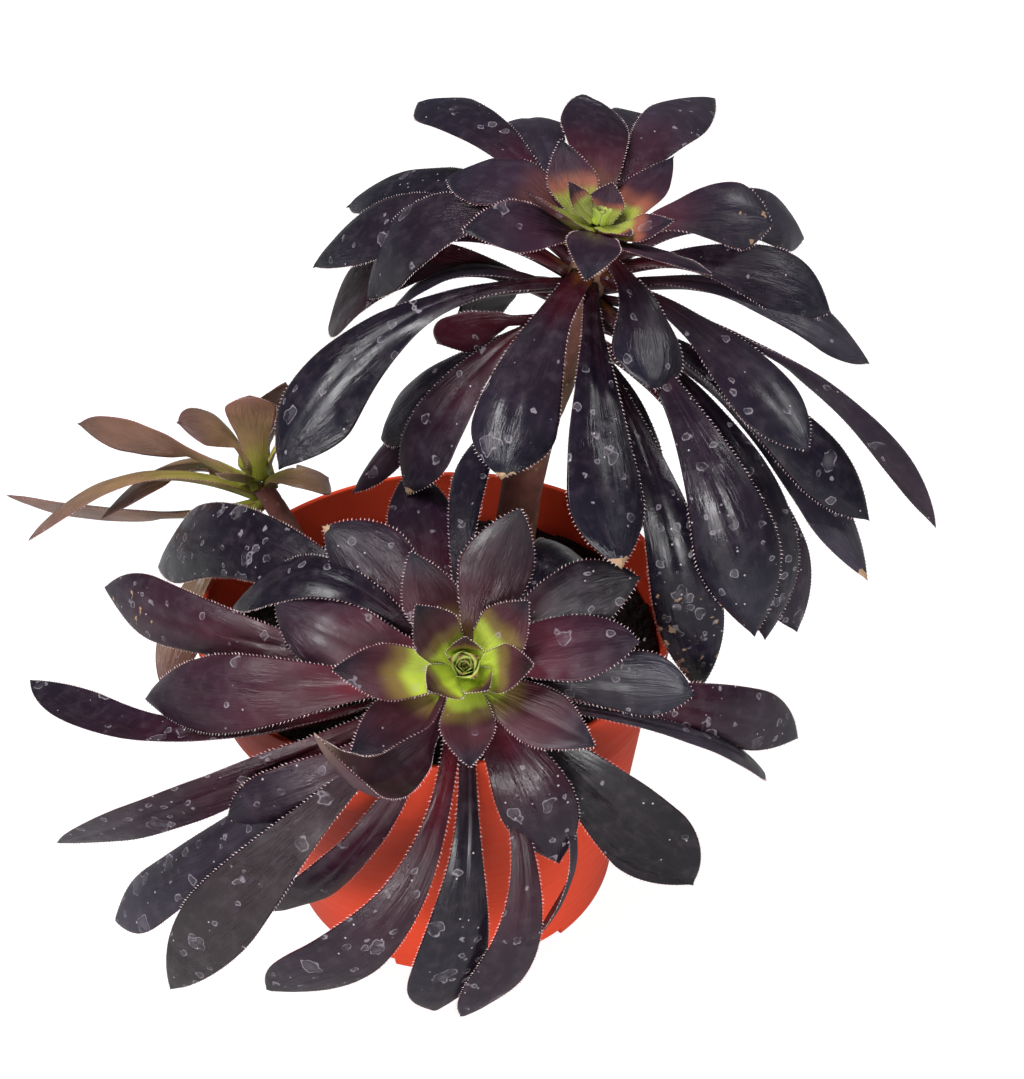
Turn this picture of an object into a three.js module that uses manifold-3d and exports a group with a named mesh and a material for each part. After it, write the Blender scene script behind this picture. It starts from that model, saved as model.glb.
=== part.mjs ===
// A potted aeonium: three rosettes of fleshy leaves on bare stems, in a plastic grower's pot.
// Millimetres, +Z up. The origin is the middle of the pot's underside, where it stands.
import * as THREE from 'three';
import { mergeVertices } from 'three/addons/utils/BufferGeometryUtils.js';
import Module from 'manifold-3d';

const wasm = await Module();
wasm.setup();

// ---- Driving sizes

const GAP = 0.3;              // air left between pieces that touch
const WELD = 1e-3;            // points closer than this are one point
const ROUND = 40;             // facets round the pot
const POT = {
  rimRadius: 60,
  height: 88,
  collarHeight: 18.7,
  collarFootRadius: 57.2,
  bodyTopRadius: 54.8,
  baseRadius: 44.4,
  wall: 1.5,
  floor: 4.6,
};
const DRAIN = { count: 6, width: 11, depth: 3.2, innerRadius: 18, holeRadius: 3.5, holeAt: 33 };
const SOIL = { top: 76 };
const CROWN = { depth: 8, rise: 2 };
const GOLDEN_ANGLE = 137.5;   // degrees between one leaf and the next on a crown

// Each rosette: where its crown is, which way it faces, the straight length of stem below it
// (its neck), and that stem's bends up from the soil.
const ROSETTES = {
  top: {
    crown: [43, 20, 178], axis: [0.2, 0, 0.98], stemRadius: 5, neck: 24,
    stem: [[20, 16, 62], [21, 18, 90], [26, 20, 118], [34, 20, 142]],
    inner: { start: 28, count: 11, shortest: 4, growth: 2.7 },
  },
  front: {
    crown: [5, -51, 108], axis: [0, -0.6, 0.8], stemRadius: 4.5, neck: 24,
    stem: [[6, -16, 60], [6, -22, 74]],
    inner: { start: 24, count: 13, shortest: 4, growth: 2.5 },
  },
  side: {
    crown: [-46, 40, 104], axis: [-0.45, 0.25, 0.86], stemRadius: 3, neck: 12,
    stem: [[-31, 30, 60], [-33, 31, 74], [-37, 34, 86]],
    inner: { start: 40, count: 7, shortest: 3, growth: 2 },
  },
};

// Each leaf: the rosette it grows on, how far down the stem it starts, where its tip is, how far
// its middle rises and swings from the straight line between them, its width and its roll.
const LEAVES = [
  // name, rosette, drop, tip, lift, sway, width, roll in degrees
  ['back', 'top', 8, [46, 77, 188], 18, 1, 17, 0],
  ['inner_left', 'top', 6, [9, 44, 182], 13, -2, 17, 0],
  ['back_right', 'top', 8, [83, 86, 183], 16, -4, 16, -5],
  ['right_upper', 'top', 5, [86, 27, 172], 12, 4, 16, -50],
  ['front_short', 'top', 6, [51, -13, 153], 4, -6, 19, 5],
  ['back_left', 'top', 8, [4, 84, 187], 19, -7, 16, 20],
  ['back_left_low', 'top', 14, [31, 82, 184], 24, -10, 16, 10],
  ['right_behind', 'top', 12, [101, 51, 157], 24, 8, 16, -40],
  ['right_long', 'top', 12, [101, 23, 150], 15, 1, 16, -50],
  ['right_low', 'top', 16, [112, 22, 136], 17, 0, 15, -25],
  ['front_right', 'top', 12, [86, -19, 138], 8, -4, 18, -20],
  ['right_edge_on', 'top', 18, [124, -6, 105], 29, 8, 10, 55],
  ['right_hanging', 'top', 20, [105, -12, 112], 16, 10, 15, -40],
  ['right_drooping', 'top', 24, [104, -19, 100], 12, -16, 16, -15],
  ['front_broad', 'top', 18, [72, -38, 100], 30, 10, 19, -40],
  ['front_folded', 'top', 22, [79, -23, 86], 38, 6, 17, -45],
  ['front_dark', 'top', 28, [89, -16, 82], 26, 11, 18, -45],
  ['front_middle', 'top', 14, [41, -44, 128], 6, 6, 19, 10],
  ['front_left', 'top', 12, [16, -22, 138], 6, 5, 20, -5],
  ['left_purple', 'top', 22, [-6, 7, 116], 10, 7, 18, 15],
  ['left_longest', 'top', 16, [-36, 9, 125], 19, 20, 22, 30],
  ['left_curved', 'top', 6, [-13, 50, 148], 28, -12, 16, 20],
  ['left_outer', 'top', 14, [-27, 70, 149], 26, -6, 15, 20],
  ['left_back', 'top', 12, [-17, 93, 156], 26, -6, 13, -30],
  ['left_under', 'top', 22, [-25, 68, 131], 28, -6, 20, 45],
  ['front_hanging', 'top', 27, [61, -33, 80], 32, 16, 16, -40],

  ['right_inner', 'front', 2, [42, -55, 116], 0, -3, 17, 20],
  ['left_inner', 'front', 6, [-37, -27, 112], 8, -6, 17, 5],
  ['back_folded', 'front', 8, [-24, -23, 128], -4, 6, 19, 30],
  ['back_pale', 'front', 3, [19, -39, 140], -3, -2, 17, -30],
  ['front_short', 'front', 7, [23, -72, 67], 19, -1, 17, -15],
  ['right_dark', 'front', 8, [44, -41, 122], 0, -7, 16, 5],
  ['right_flat', 'front', 8, [53, -62, 105], 4, -3, 15, -35],
  ['right_long', 'front', 16, [87, -33, 62], 30, 0, 15, -30],
  ['front_right', 'front', 8, [54, -69, 53], 14, -1, 20, -30],
  ['left_curled', 'front', 6, [-25, -92, 129], -22, -21, 10, 0],
  ['left_pale', 'front', 10, [-71, -26, 85], 30, -7, 18, 15],
  ['left_upper', 'front', 12, [-83, 6, 95], 24, -12, 16, 30],
  ['left_behind', 'front', 14, [-75, 33, 81], 44, 15, 20, 20],
  ['left_boat', 'front', 12, [-102, -5, 74], 23, -29, 11, -40],
  ['left_lance', 'front', 12, [-94, -43, 56], 30, -10, 14, 60],
  ['left_round', 'front', 8, [-82, -55, 42], 23, -5, 14, -15],
  ['left_broad', 'front', 8, [-70, -65, 27], 36, 0, 17, 15],
  ['front_left_low', 'front', 6, [-44, -58, 43], 21, -15, 12, 65],
  ['front_left_long', 'front', 8, [-45, -76, 37], 26, -31, 15, 55],
  ['front_long', 'front', 9, [-7, -78, 27], 30, -8, 18, 20],
  ['front_narrow', 'front', 10, [-1, -78, 24], 30, -27, 13, 35],

  ['brown', 'side', 4, [-93, 60, 112], 2, 6, 17, -65],
  ['long', 'side', 8, [-116, 58, 92], -16, 10, 14, -45],
  ['drooping', 'side', 6, [-110, 44, 86], 21, 3, 13, 5],
  ['upright', 'side', 2, [-43, 32, 133], 4, -3, 13, 45],
  ['back', 'side', 4, [-62, 36, 124], 12, -2, 13, 70],
];

// A leaf's rings: how far along it each one is, and its seven points across a flat lens,
// as fractions of the half width (x) and the half thickness (z).
const RINGS = [0, 0.16, 0.34, 0.52, 0.68, 0.8, 0.9, 0.97];
const SECTION = [[-1, 0], [-0.5, 1], [0, 1.15], [0.5, 1], [1, 0], [0.45, -1], [-0.45, -1]];
const INNER_RINGS = [0, 0.45, 0.75, 0.92];
const INNER_SECTION = [[-1, 0], [0, 1.15], [1, 0], [0, -1]];
const LEAF = {
  petiole: 0.2, widestAt: 0.76, tipRoundness: 0.6, baseThickness: 3.4, bladeThickness: 1.9, cup: 0.16,
};

// ---- Small helpers

const vector = (p) => new THREE.Vector3(...p);
const radians = THREE.MathUtils.degToRad;
const smooth = (t) => {
  const u = Math.min(Math.max(t, 0), 1);
  return u * u * (3 - 2 * u);
};

// A closed three.js geometry as a solid that can be joined and cut.
function solid(geometry) {
  const bare = geometry.index ? geometry.clone() : geometry;
  bare.deleteAttribute('normal');
  bare.deleteAttribute('uv');
  const merged = mergeVertices(bare, WELD);
  return new wasm.Manifold(new wasm.Mesh({
    numProp: 3,
    vertProperties: new Float32Array(merged.attributes.position.array),
    triVerts: new Uint32Array(merged.index.array),
  }));
}

// A solid's own surface as a three.js geometry.
function geometryOf(body) {
  const mesh = body.getMesh();
  const geometry = new THREE.BufferGeometry();
  geometry.setAttribute('position', new THREE.BufferAttribute(mesh.vertProperties, 3));
  geometry.setIndex(new THREE.BufferAttribute(mesh.triVerts, 1));
  return geometry.toNonIndexed();
}

// The biggest piece of a solid that a cut may have split.
function biggest(body) {
  return body.decompose().sort((a, b) => b.volume() - a.volume())[0];
}

// A cut solid without its offcuts, or the slivers that hang on by less than a weld.
function trimmed(body) {
  return biggest(solid(geometryOf(biggest(body))));
}

// A lathe stands along Y in three.js, so it is turned to stand along Z.
function lathe(points, segments = ROUND) {
  const profile = points.map(([r, z]) => new THREE.Vector2(r, z));
  return solid(new THREE.LatheGeometry(profile, segments).rotateX(Math.PI / 2));
}

// A closed skin over rings of points, from the first ring to a single end point.
function loft(rings, tip) {
  const size = rings[0].length;
  const points = rings.flat().concat([tip]);
  const index = [];
  for (let r = 0; r + 1 < rings.length; r += 1) {
    for (let k = 0; k < size; k += 1) {
      const a = r * size + k;
      const b = r * size + ((k + 1) % size);
      index.push(a, b, a + size, b, b + size, a + size);
    }
  }
  for (let k = 1; k + 1 < size; k += 1) index.push(0, k + 1, k);
  const last = (rings.length - 1) * size;
  for (let k = 0; k < size; k += 1) index.push(last + k, last + ((k + 1) % size), points.length - 1);
  const geometry = new THREE.BufferGeometry().setFromPoints(points);
  geometry.setIndex(index);
  const body = solid(geometry);
  return body.volume() > 0 ? body : solid(geometry.setIndex(index.reverse()));
}

// ---- Leaves

// Half the leaf's width at t, as a fraction of its widest: a narrow stalk that broadens to
// near the end, then a round end.
function outline(t) {
  const stalk = LEAF.petiole + (1 - LEAF.petiole) * smooth(t / (LEAF.widestAt + 0.04));
  const beyond = Math.max(0, (t - LEAF.widestAt) / (1 - LEAF.widestAt));
  return stalk * (1 - beyond * beyond) ** LEAF.tipRoundness;
}

// The middle line of a leaf from its base to its tip, bent by lift and sway.
function spineOf({ base, tip, axis, lift, sway }) {
  const chord = tip.clone().sub(base).normalize();
  const side = chord.clone().cross(axis).normalize();
  const up = side.clone().cross(chord);
  const elbow = base.clone().add(tip).multiplyScalar(0.5)
    .addScaledVector(up, lift)
    .addScaledVector(side, sway);
  return { curve: new THREE.QuadraticBezierCurve3(base, elbow, tip), side };
}

// A leaf as a closed solid. clearance makes it fatter all over, to cut its neighbours with.
function leafSolid(leaf, clearance = 0, along = RINGS, section = SECTION) {
  const { curve, side } = spineOf(leaf);
  const rings = along.map((t) => {
    const forward = curve.getTangent(t);
    const centre = curve.getPoint(t).addScaledVector(forward, t === along[0] ? -clearance : 0);
    const face = side.clone().cross(forward).normalize();
    const across = forward.clone().cross(face);
    const roll = -radians(leaf.roll) * smooth(t / 0.6);
    across.applyAxisAngle(forward, roll);
    face.applyAxisAngle(forward, roll);
    const half = leaf.width / 2 * outline(t);
    const thick = THREE.MathUtils.lerp(LEAF.baseThickness, LEAF.bladeThickness, smooth(t / 0.5)) / 2
      * Math.min(1, leaf.width / 12);
    return section.map(([x, z]) => {
      const edge = half * LEAF.cup * x * x;
      return centre.clone()
        .addScaledVector(across, x * (half + clearance))
        .addScaledVector(face, z * (thick + clearance) + edge);
    });
  });
  const tip = leaf.tip.clone().addScaledVector(curve.getTangent(1), clearance);
  return loft(rings, tip);
}

// Where a leaf leaves its stem: down from the crown by drop, on the side that faces its tip.
function leafBase(rosette, drop, tip) {
  const axis = vector(rosette.axis).normalize();
  const centre = vector(rosette.crown).addScaledVector(axis, -drop);
  const outward = tip.clone().sub(centre);
  outward.addScaledVector(axis, -outward.dot(axis)).normalize();
  return centre.addScaledVector(outward, rosette.stemRadius - 1);
}

function leafFromRow([name, rosetteName, drop, tipPoint, lift, sway, width, roll]) {
  const rosette = ROSETTES[rosetteName];
  const tip = vector(tipPoint);
  const axis = vector(rosette.axis).normalize();
  const base = leafBase(rosette, drop, tip);
  return { name: `${rosetteName}_leaf_${name}`, rosetteName, base, tip, axis, lift, sway, width, roll };
}

// The small leaves in a crown: each a golden angle on from the last, longer and more spread.
function innerLeaves(rosetteName) {
  const rosette = ROSETTES[rosetteName];
  const { start, count, shortest, growth } = rosette.inner;
  const axis = vector(rosette.axis).normalize();
  const zero = new THREE.Vector3(1, 0, 0).addScaledVector(axis, -axis.x).normalize();
  const leaves = [];
  for (let k = 0; k < count; k += 1) {
    const length = shortest + growth * k;
    const lean = radians(85 * (1 - Math.exp(-k / 4)));
    const outward = zero.clone().applyAxisAngle(axis, radians(start + GOLDEN_ANGLE * k));
    const base = vector(rosette.crown).addScaledVector(axis, -0.5 * k)
      .addScaledVector(outward, 0.3 * rosette.stemRadius);
    const tip = base.clone()
      .addScaledVector(axis, length * Math.cos(lean) + 2)
      .addScaledVector(outward, length * Math.sin(lean));
    leaves.push({ base, tip, axis, lift: -0.12 * length, sway: 0, width: 3 + 0.36 * length, roll: 0 });
  }
  return leaves;
}

// ---- Stems, crowns, soil and pot

// A round stem from inside the soil up to just under its crown, as one extruded tube.
function stemSolid(rosette, clearance = 0) {
  const axis = vector(rosette.axis).normalize();
  const bends = rosette.stem.map(vector);
  bends[0].z -= clearance;
  const [neck, top] = [rosette.neck, CROWN.depth + GAP - clearance]
    .map((drop) => vector(rosette.crown).addScaledVector(axis, -drop));
  const path = new THREE.CatmullRomCurve3([...bends, neck, top]);
  const section = new THREE.Shape().absarc(0, 0, rosette.stemRadius + clearance, 0, 2 * Math.PI);
  return solid(new THREE.ExtrudeGeometry(section, {
    steps: 12, curveSegments: 5, extrudePath: path, bevelEnabled: false,
  }));
}

// The growing tip of a rosette: a short blunt cone with its small leaves grown out of it.
function crownSolid(rosetteName, clearance = 0) {
  const rosette = ROSETTES[rosetteName];
  const foot = rosette.stemRadius + clearance;
  const low = -CROWN.depth - clearance;
  const turn = new THREE.Quaternion()
    .setFromUnitVectors(new THREE.Vector3(0, 0, 1), vector(rosette.axis).normalize());
  const bud = new THREE.LatheGeometry([
    new THREE.Vector2(0, low),
    new THREE.Vector2(foot, low),
    new THREE.Vector2(foot * 0.9, -CROWN.depth / 3),
    new THREE.Vector2(foot * 0.4, CROWN.rise),
    new THREE.Vector2(0, CROWN.rise + 0.5 + clearance),
  ], 12).rotateX(Math.PI / 2).applyQuaternion(turn).translate(...rosette.crown);
  return innerLeaves(rosetteName)
    .reduce((whole, leaf) => whole.add(leafSolid(leaf, clearance, INNER_RINGS, INNER_SECTION)), solid(bud));
}

// The soil fills the pot to its top, with a hole round each stem's buried end.
function soilSolid() {
  const at = (z) => innerRadius(z) - GAP;
  const low = POT.floor + GAP;
  const step = POT.height - POT.collarHeight;
  const disc = lathe([[0, low], [at(low), low], [at(step), step], [at(SOIL.top), SOIL.top], [0, SOIL.top]]);
  return Object.values(ROSETTES).reduce((soil, r) => soil.subtract(stemSolid(r, GAP)), disc);
}

// The pot's inside radius at a height: the body's cone, then the wider collar's.
function innerRadius(z) {
  const step = POT.height - POT.collarHeight;
  if (z <= step) return THREE.MathUtils.mapLinear(z, 0, step, POT.baseRadius, POT.bodyTopRadius) - POT.wall;
  return THREE.MathUtils.mapLinear(z, step, POT.height, POT.bodyTopRadius, POT.rimRadius) - POT.wall;
}

// The pot: a tapering body under a taller, wider collar, on feet with drains between them.
function potSolid() {
  const step = POT.height - POT.collarHeight;
  const lip = 1;
  let pot = lathe([
    [0, 0], [POT.baseRadius, 0], [POT.bodyTopRadius, step], [POT.collarFootRadius, step],
    [POT.rimRadius, POT.height - lip], [POT.rimRadius - lip / 2, POT.height],
    [POT.rimRadius - POT.wall, POT.height], [innerRadius(step), step],
    [innerRadius(POT.floor), POT.floor], [0, POT.floor],
  ]);
  const reach = POT.rimRadius - DRAIN.innerRadius;
  for (let k = 0; k < DRAIN.count; k += 1) {
    const angle = 2 * Math.PI * k / DRAIN.count;
    const channel = new THREE.BoxGeometry(reach, DRAIN.width, 2 * DRAIN.depth)
      .translate(DRAIN.innerRadius + reach / 2, 0, 0).rotateZ(angle);
    const hole = new THREE.CylinderGeometry(DRAIN.holeRadius, DRAIN.holeRadius, 3 * POT.floor, 12)
      .rotateX(Math.PI / 2).translate(DRAIN.holeAt, 0, 0).rotateZ(angle);
    pot = pot.subtract(solid(channel)).subtract(solid(hole));
  }
  return pot;
}

// ---- The whole plant

const PAINT = {
  pot: { color: 0xcf6a4c, roughness: 0.55 },
  soil: { color: 0x1d1713, roughness: 1 },
  stem: { color: 0xa08368, roughness: 0.7 },
  crown: { color: 0x93a53c, roughness: 0.45 },
  leaf: { color: 0x40303c, roughness: 0.4 },
  side_leaf: { color: 0x7c6450, roughness: 0.5 },
};

const plant = new THREE.Group();
const taken = [];

// Adds a piece to the plant, cut clear of what is already there, and remembers the room it takes.
function place(name, paint, body, fatBody) {
  const box = body.boundingBox();
  const near = (other) => [0, 1, 2].every((i) => box.min[i] < other.max[i] && box.max[i] > other.min[i]);
  const cut = taken.filter((t) => near(t.box)).reduce((b, t) => b.subtract(t.fat), body);
  const mesh = new THREE.Mesh(
    geometryOf(trimmed(cut)),
    new THREE.MeshStandardMaterial({ ...PAINT[paint], metalness: 0 }),
  );
  mesh.name = name;
  plant.add(mesh);
  if (fatBody) taken.push({ fat: fatBody, box: fatBody.boundingBox() });
}

place('pot', 'pot', potSolid());
place('soil', 'soil', soilSolid());
for (const [name, rosette] of Object.entries(ROSETTES)) {
  place(`${name}_stem`, 'stem', stemSolid(rosette), stemSolid(rosette, GAP));
  place(`${name}_crown`, 'crown', crownSolid(name), crownSolid(name, GAP));
}
for (const row of LEAVES) {
  const leaf = leafFromRow(row);
  const paint = leaf.rosetteName === 'side' ? 'side_leaf' : 'leaf';
  place(leaf.name, paint, leafSolid(leaf), leafSolid(leaf, GAP));
}

export default plant;
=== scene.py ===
# %% [markdown]
# # A potted aeonium
# Three rosettes of dark, toothed leaves stand on bare stems in a round plastic pot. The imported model
# gives every piece its place. This script gives each one its real surface: fine leaf blades with their
# teeth, green hearts, barky stems, crumbly soil and moulded plastic.

import math
import random

import bmesh
import bpy
from mathutils import Matrix, Vector, noise


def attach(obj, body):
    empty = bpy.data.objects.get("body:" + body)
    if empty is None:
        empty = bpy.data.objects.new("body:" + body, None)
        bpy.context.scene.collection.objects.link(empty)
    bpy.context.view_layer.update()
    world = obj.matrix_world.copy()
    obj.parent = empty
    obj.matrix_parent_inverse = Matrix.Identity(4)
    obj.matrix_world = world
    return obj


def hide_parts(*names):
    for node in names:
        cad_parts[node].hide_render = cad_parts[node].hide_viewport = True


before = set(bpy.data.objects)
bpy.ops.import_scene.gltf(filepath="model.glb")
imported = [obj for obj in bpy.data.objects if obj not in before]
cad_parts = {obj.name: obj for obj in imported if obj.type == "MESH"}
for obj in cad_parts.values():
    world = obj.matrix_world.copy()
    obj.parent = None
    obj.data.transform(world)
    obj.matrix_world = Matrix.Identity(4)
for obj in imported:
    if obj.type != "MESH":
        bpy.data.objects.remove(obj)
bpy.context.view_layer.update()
MM = 0.001
GROWN_SEED, EXTRA_SEED, YOUNG_SEED, HEART_SEED = 100, 300, 400, 500

# %% [markdown]
# ## Camera, floor and light
# A plant this low is seen from above, so the camera stands a forearm's length in front and looks down.
# The floor is a plain white table. A wide light overhead and a low fill in front light the plant, but
# aren't mirrored in it. Three small windows are, and give the dark, glossy leaves their highlights. The
# rest of the room is dim, so that the leaves stay dark.

# %% Small helpers
def smooth(value):
    """0 to 1 with a soft start and a soft end."""
    u = min(max(value, 0.0), 1.0)
    return u * u * (3 - 2 * u)


def mix(a, b, amount):
    return a + (b - a) * amount


def rgb(red, green, blue):
    """A colour as the eye names it, 0 to 255, in the linear light that shaders use."""
    def linear(c):
        c /= 255
        return c / 12.92 if c <= 0.04045 else ((c + 0.055) / 1.055) ** 2.4
    return Vector((linear(red), linear(green), linear(blue)))


def skin(red, green, blue, depth=0.54):
    """A leaf's pigment for a colour as it looks in bright light, which is deeper than it looks."""
    return rgb(red, green, blue) * depth


def fade(*stops):
    """Colours along a leaf, from stops of (t, red, green, blue) with or without a depth."""
    return [(t, skin(*colour)) for t, *colour in stops]


def shown(name, data):
    """A new object that stands in the scene."""
    made = bpy.data.objects.new(name, data)
    bpy.context.collection.objects.link(made)
    return made


def mesh_object(name, vertices, faces):
    mesh = bpy.data.meshes.new(name)
    mesh.from_pydata([tuple(v) for v in vertices], [], faces)
    mesh.validate()
    mesh.update()
    mesh.polygons.foreach_set("use_smooth", [True] * len(mesh.polygons))
    return shown(name, mesh)


def circle(count, radius):
    """Points (x, y) evenly round the upright axis."""
    angles = [2 * math.pi * k / count for k in range(count)]
    return [(radius * math.cos(a), radius * math.sin(a)) for a in angles]


def tube_faces(rings, around):
    """Quads between rings of points, and a cap that closes the first ring."""
    faces = []
    for low in range(0, (rings - 1) * around, around):
        high = low + around
        for k in range(around):
            n = (k + 1) % around
            faces.append((low + k, low + n, high + n, high + k))
    return faces, tuple(reversed(range(around)))


def light(name, place, aim, size, power, mirrored=True):
    lamp = bpy.data.lights.new(name, "AREA")
    lamp.shape = "RECTANGLE"
    lamp.size, lamp.size_y = size
    lamp.energy = power
    holder = shown(name, lamp)
    holder.location = place
    holder.rotation_euler = (Vector(aim) - Vector(place)).to_track_quat("-Z", "Y").to_euler()
    holder.visible_glossy = mirrored


# %% Camera
camera = shown("camera", bpy.data.cameras.new("camera"))
camera.location = (0, -0.2996, 0.3184)
camera.rotation_euler = [math.radians(a) for a in (54.6, 1.54, -4.81)]
camera.data.lens = 50.05
camera.data.sensor_width = 36
camera.data.clip_start = 0.01
bpy.context.scene.camera = camera


# %% Floor and light
def new_material(name):
    material = bpy.data.materials.new(name)
    material.use_nodes = True
    nodes = material.node_tree.nodes
    nodes.clear()
    output = nodes.new("ShaderNodeOutputMaterial")
    shader = nodes.new("ShaderNodeBsdfPrincipled")
    material.node_tree.links.new(shader.outputs["BSDF"], output.inputs["Surface"])
    return material, material.node_tree, shader


def glow_when_seen(tree, socket, seen, unseen):
    """White surroundings that look bright, but cast and mirror only a little light on the plant."""
    path = tree.nodes.new("ShaderNodeLightPath")
    strength = tree.nodes.new("ShaderNodeMapRange")
    strength.inputs["To Min"].default_value = unseen
    strength.inputs["To Max"].default_value = seen
    tree.links.new(path.outputs["Is Camera Ray"], strength.inputs["Value"])
    tree.links.new(strength.outputs["Result"], socket)


floor = mesh_object("floor", [(-4, -4, 0), (4, -4, 0), (4, 4, 0), (-4, 4, 0)], [(0, 1, 2, 3)])
white, white_tree, white_shader = new_material("white_table")
white_shader.inputs["Base Color"].default_value = (0.3, 0.3, 0.3, 1)
white_shader.inputs["Roughness"].default_value = 0.6
white_shader.inputs["Emission Color"].default_value = (1, 1, 1, 1)
glow_when_seen(white_tree, white_shader.inputs["Emission Strength"], 0.88, 0.05)
floor.data.materials.append(white)

light("overhead", (-0.6, 0.5, 2.2), (0, 0, 0.1), (1.1, 1.1), 58, mirrored=False)
light("front_window", (-0.25, -1.2, 0.4), (0, 0, 0.1), (0.45, 0.35), 7)
light("left_window", (-0.81, -0.33, 1.07), (0, 0, 0.1), (0.36, 0.36), 5.5)
light("right_window", (1.05, 0.04, 0.86), (0, 0, 0.1), (0.3, 0.3), 2.6)
light("soft_fill", (0.15, -1.25, 0.2), (0, 0, 0.05), (2.2, 0.35), 14, mirrored=False)
world = bpy.data.worlds.new("room")
world.use_nodes = True
room = world.node_tree.nodes["Background"]
room.inputs["Color"].default_value = (1, 1, 1, 1)
glow_when_seen(world.node_tree, room.inputs["Strength"], 1.0, 0.08)
bpy.context.scene.world = world
bpy.context.scene.view_settings.view_transform = "Standard"

# %% [markdown]
# ## Reading a leaf's line from the frame
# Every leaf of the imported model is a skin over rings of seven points, from its stalk to its tip. The
# rings give all that a finer leaf needs: the middle line, the width, and which way the face looks. A walk
# over the mesh from the tip inwards meets the rings one by one, until it reaches the cut at the stalk.

# %% Leaf guides
RING_STATIONS = (0.97, 0.9, 0.8, 0.68, 0.52, 0.34, 0.16)
RING_POINTS = 7
CAD_CUP = 0.16
CAD_WIDEST = 0.76
CAD_STALK = 0.2
CROWN_RISE = 8.3 * MM


def cad_outline(t):
    """Half the width of a packed leaf at t, as a fraction of its widest half."""
    taper = mix(CAD_STALK, 1, smooth(t / (CAD_WIDEST + 0.04)))
    beyond = max(0.0, (t - CAD_WIDEST) / (1 - CAD_WIDEST))
    return taper * max(0.0, 1 - beyond * beyond) ** 0.6


class LeafGuide:
    """A leaf's middle line, a bend from base through elbow to tip, its half width and its turn."""

    def __init__(self, base, elbow, tip, half_width, turns):
        self.base, self.elbow, self.tip = base, elbow, tip
        self.half_width = half_width
        self.turns = turns

    def point(self, t):
        return self.base * (1 - t) ** 2 + self.elbow * (2 * t * (1 - t)) + self.tip * t * t

    def forward(self, t):
        u = max(t, 0.0)
        return ((self.elbow - self.base) * (1 - u) + (self.tip - self.elbow) * u).normalized()

    def across(self, t):
        """The direction of the leaf's right edge at t, between those of the nearest stations."""
        turns = self.turns
        low = max((s for s in turns if s[0] <= t), default=turns[0], key=lambda s: s[0])
        high = min((s for s in turns if s[0] >= t), default=turns[-1], key=lambda s: s[0])
        share = 0 if high[0] == low[0] else (t - low[0]) / (high[0] - low[0])
        direction = low[1].lerp(high[1], smooth(share) * 0.5 + share * 0.5)
        along = self.forward(t)
        return (direction - along * direction.dot(along)).normalized()


def ring_walk(node):
    """The rings of a leaf's mesh, each as its seven points in order, from the tip inwards."""
    net = bmesh.new()
    net.from_mesh(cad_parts[node].data)
    bmesh.ops.remove_doubles(net, verts=net.verts, dist=2e-6)
    net.verts.index_update()
    middle = sum((v.co for v in net.verts), Vector()) / len(net.verts)
    crown = crowns[node.split("_")[0]].place
    tips = [v for v in net.verts if len(v.link_edges) == RING_POINTS]
    tip = max(tips, key=lambda v: (v.co - crown).length + (v.co - middle).length)
    seen, layer, rings = {tip}, [tip], []
    while len(rings) < len(RING_STATIONS):
        layer = {e.other_vert(v) for v in layer for e in v.link_edges} - seen
        seen |= layer
        chain = ring_order(layer)
        if chain is None:
            break
        rings.append([v.co.copy() for v in chain])
    place = tip.co.copy()
    net.free()
    return place, rings


def ring_order(layer):
    """A closed loop's seven vertices in order, from the lowest numbered, or None for another layer."""
    if len(layer) != RING_POINTS:
        return None
    chain = [min(layer, key=lambda v: v.index)]
    while len(chain) < RING_POINTS:
        steps = [e.other_vert(chain[-1]) for e in chain[-1].link_edges]
        steps = [v for v in steps if v in layer and v not in chain]
        if not steps:
            return None
        chain.append(steps[0])
    return chain


def read_ring(ring, forward):
    """Centre, across direction and half width of a ring of seven: two edges, three above, two below."""
    pairs = [(i, j) for i in range(RING_POINTS) for j in range(i + 1, RING_POINTS)]
    i, j = max(pairs, key=lambda p: (ring[p[0]] - ring[p[1]]).length)
    arcs = ring[i + 1:j], ring[j + 1:] + ring[:i]
    above, below = sorted(arcs, key=len, reverse=True)
    if len(above) != 3:
        return None
    half = (ring[i] - ring[j]).length / 2
    face = above[1] - (below[0] + below[1]) / 2
    across = (ring[j] - ring[i]).normalized()
    if forward.cross(face).dot(across) < 0:
        across = -across
    face = across.cross(forward)
    return (ring[i] + ring[j]) / 2 - face * half * CAD_CUP, across, half


def guide_of(node):
    tip, rings = ring_walk(node)
    forwards = []
    last = tip
    for ring in rings:
        centre = sum(ring, Vector()) / RING_POINTS
        forwards.append((last - centre).normalized())
        last = centre
    stations = []
    for t, ring, forward in zip(RING_STATIONS, rings, forwards):
        read = read_ring(ring, forward)
        if read:
            stations.append((t, *read))
    # The middle line is a bend through the tip: the two unknown ends solve by least squares.
    aa = ab = bb = 0.0
    ya, yb = Vector(), Vector()
    for t, centre, _, _ in stations:
        a, b = (1 - t) ** 2, 2 * t * (1 - t)
        rest = centre - tip * t * t
        aa, ab, bb = aa + a * a, ab + a * b, bb + b * b
        ya, yb = ya + rest * a, yb + rest * b
    det = aa * bb - ab * ab
    base, elbow = (ya * bb - yb * ab) / det, (yb * aa - ya * ab) / det
    half = max(half / cad_outline(t) for t, _, _, half in stations if t < 0.95)
    turns = sorted([(t, across) for t, _, across, _ in stations], key=lambda s: s[0])
    return LeafGuide(base, elbow, tip, half, turns)


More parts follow.
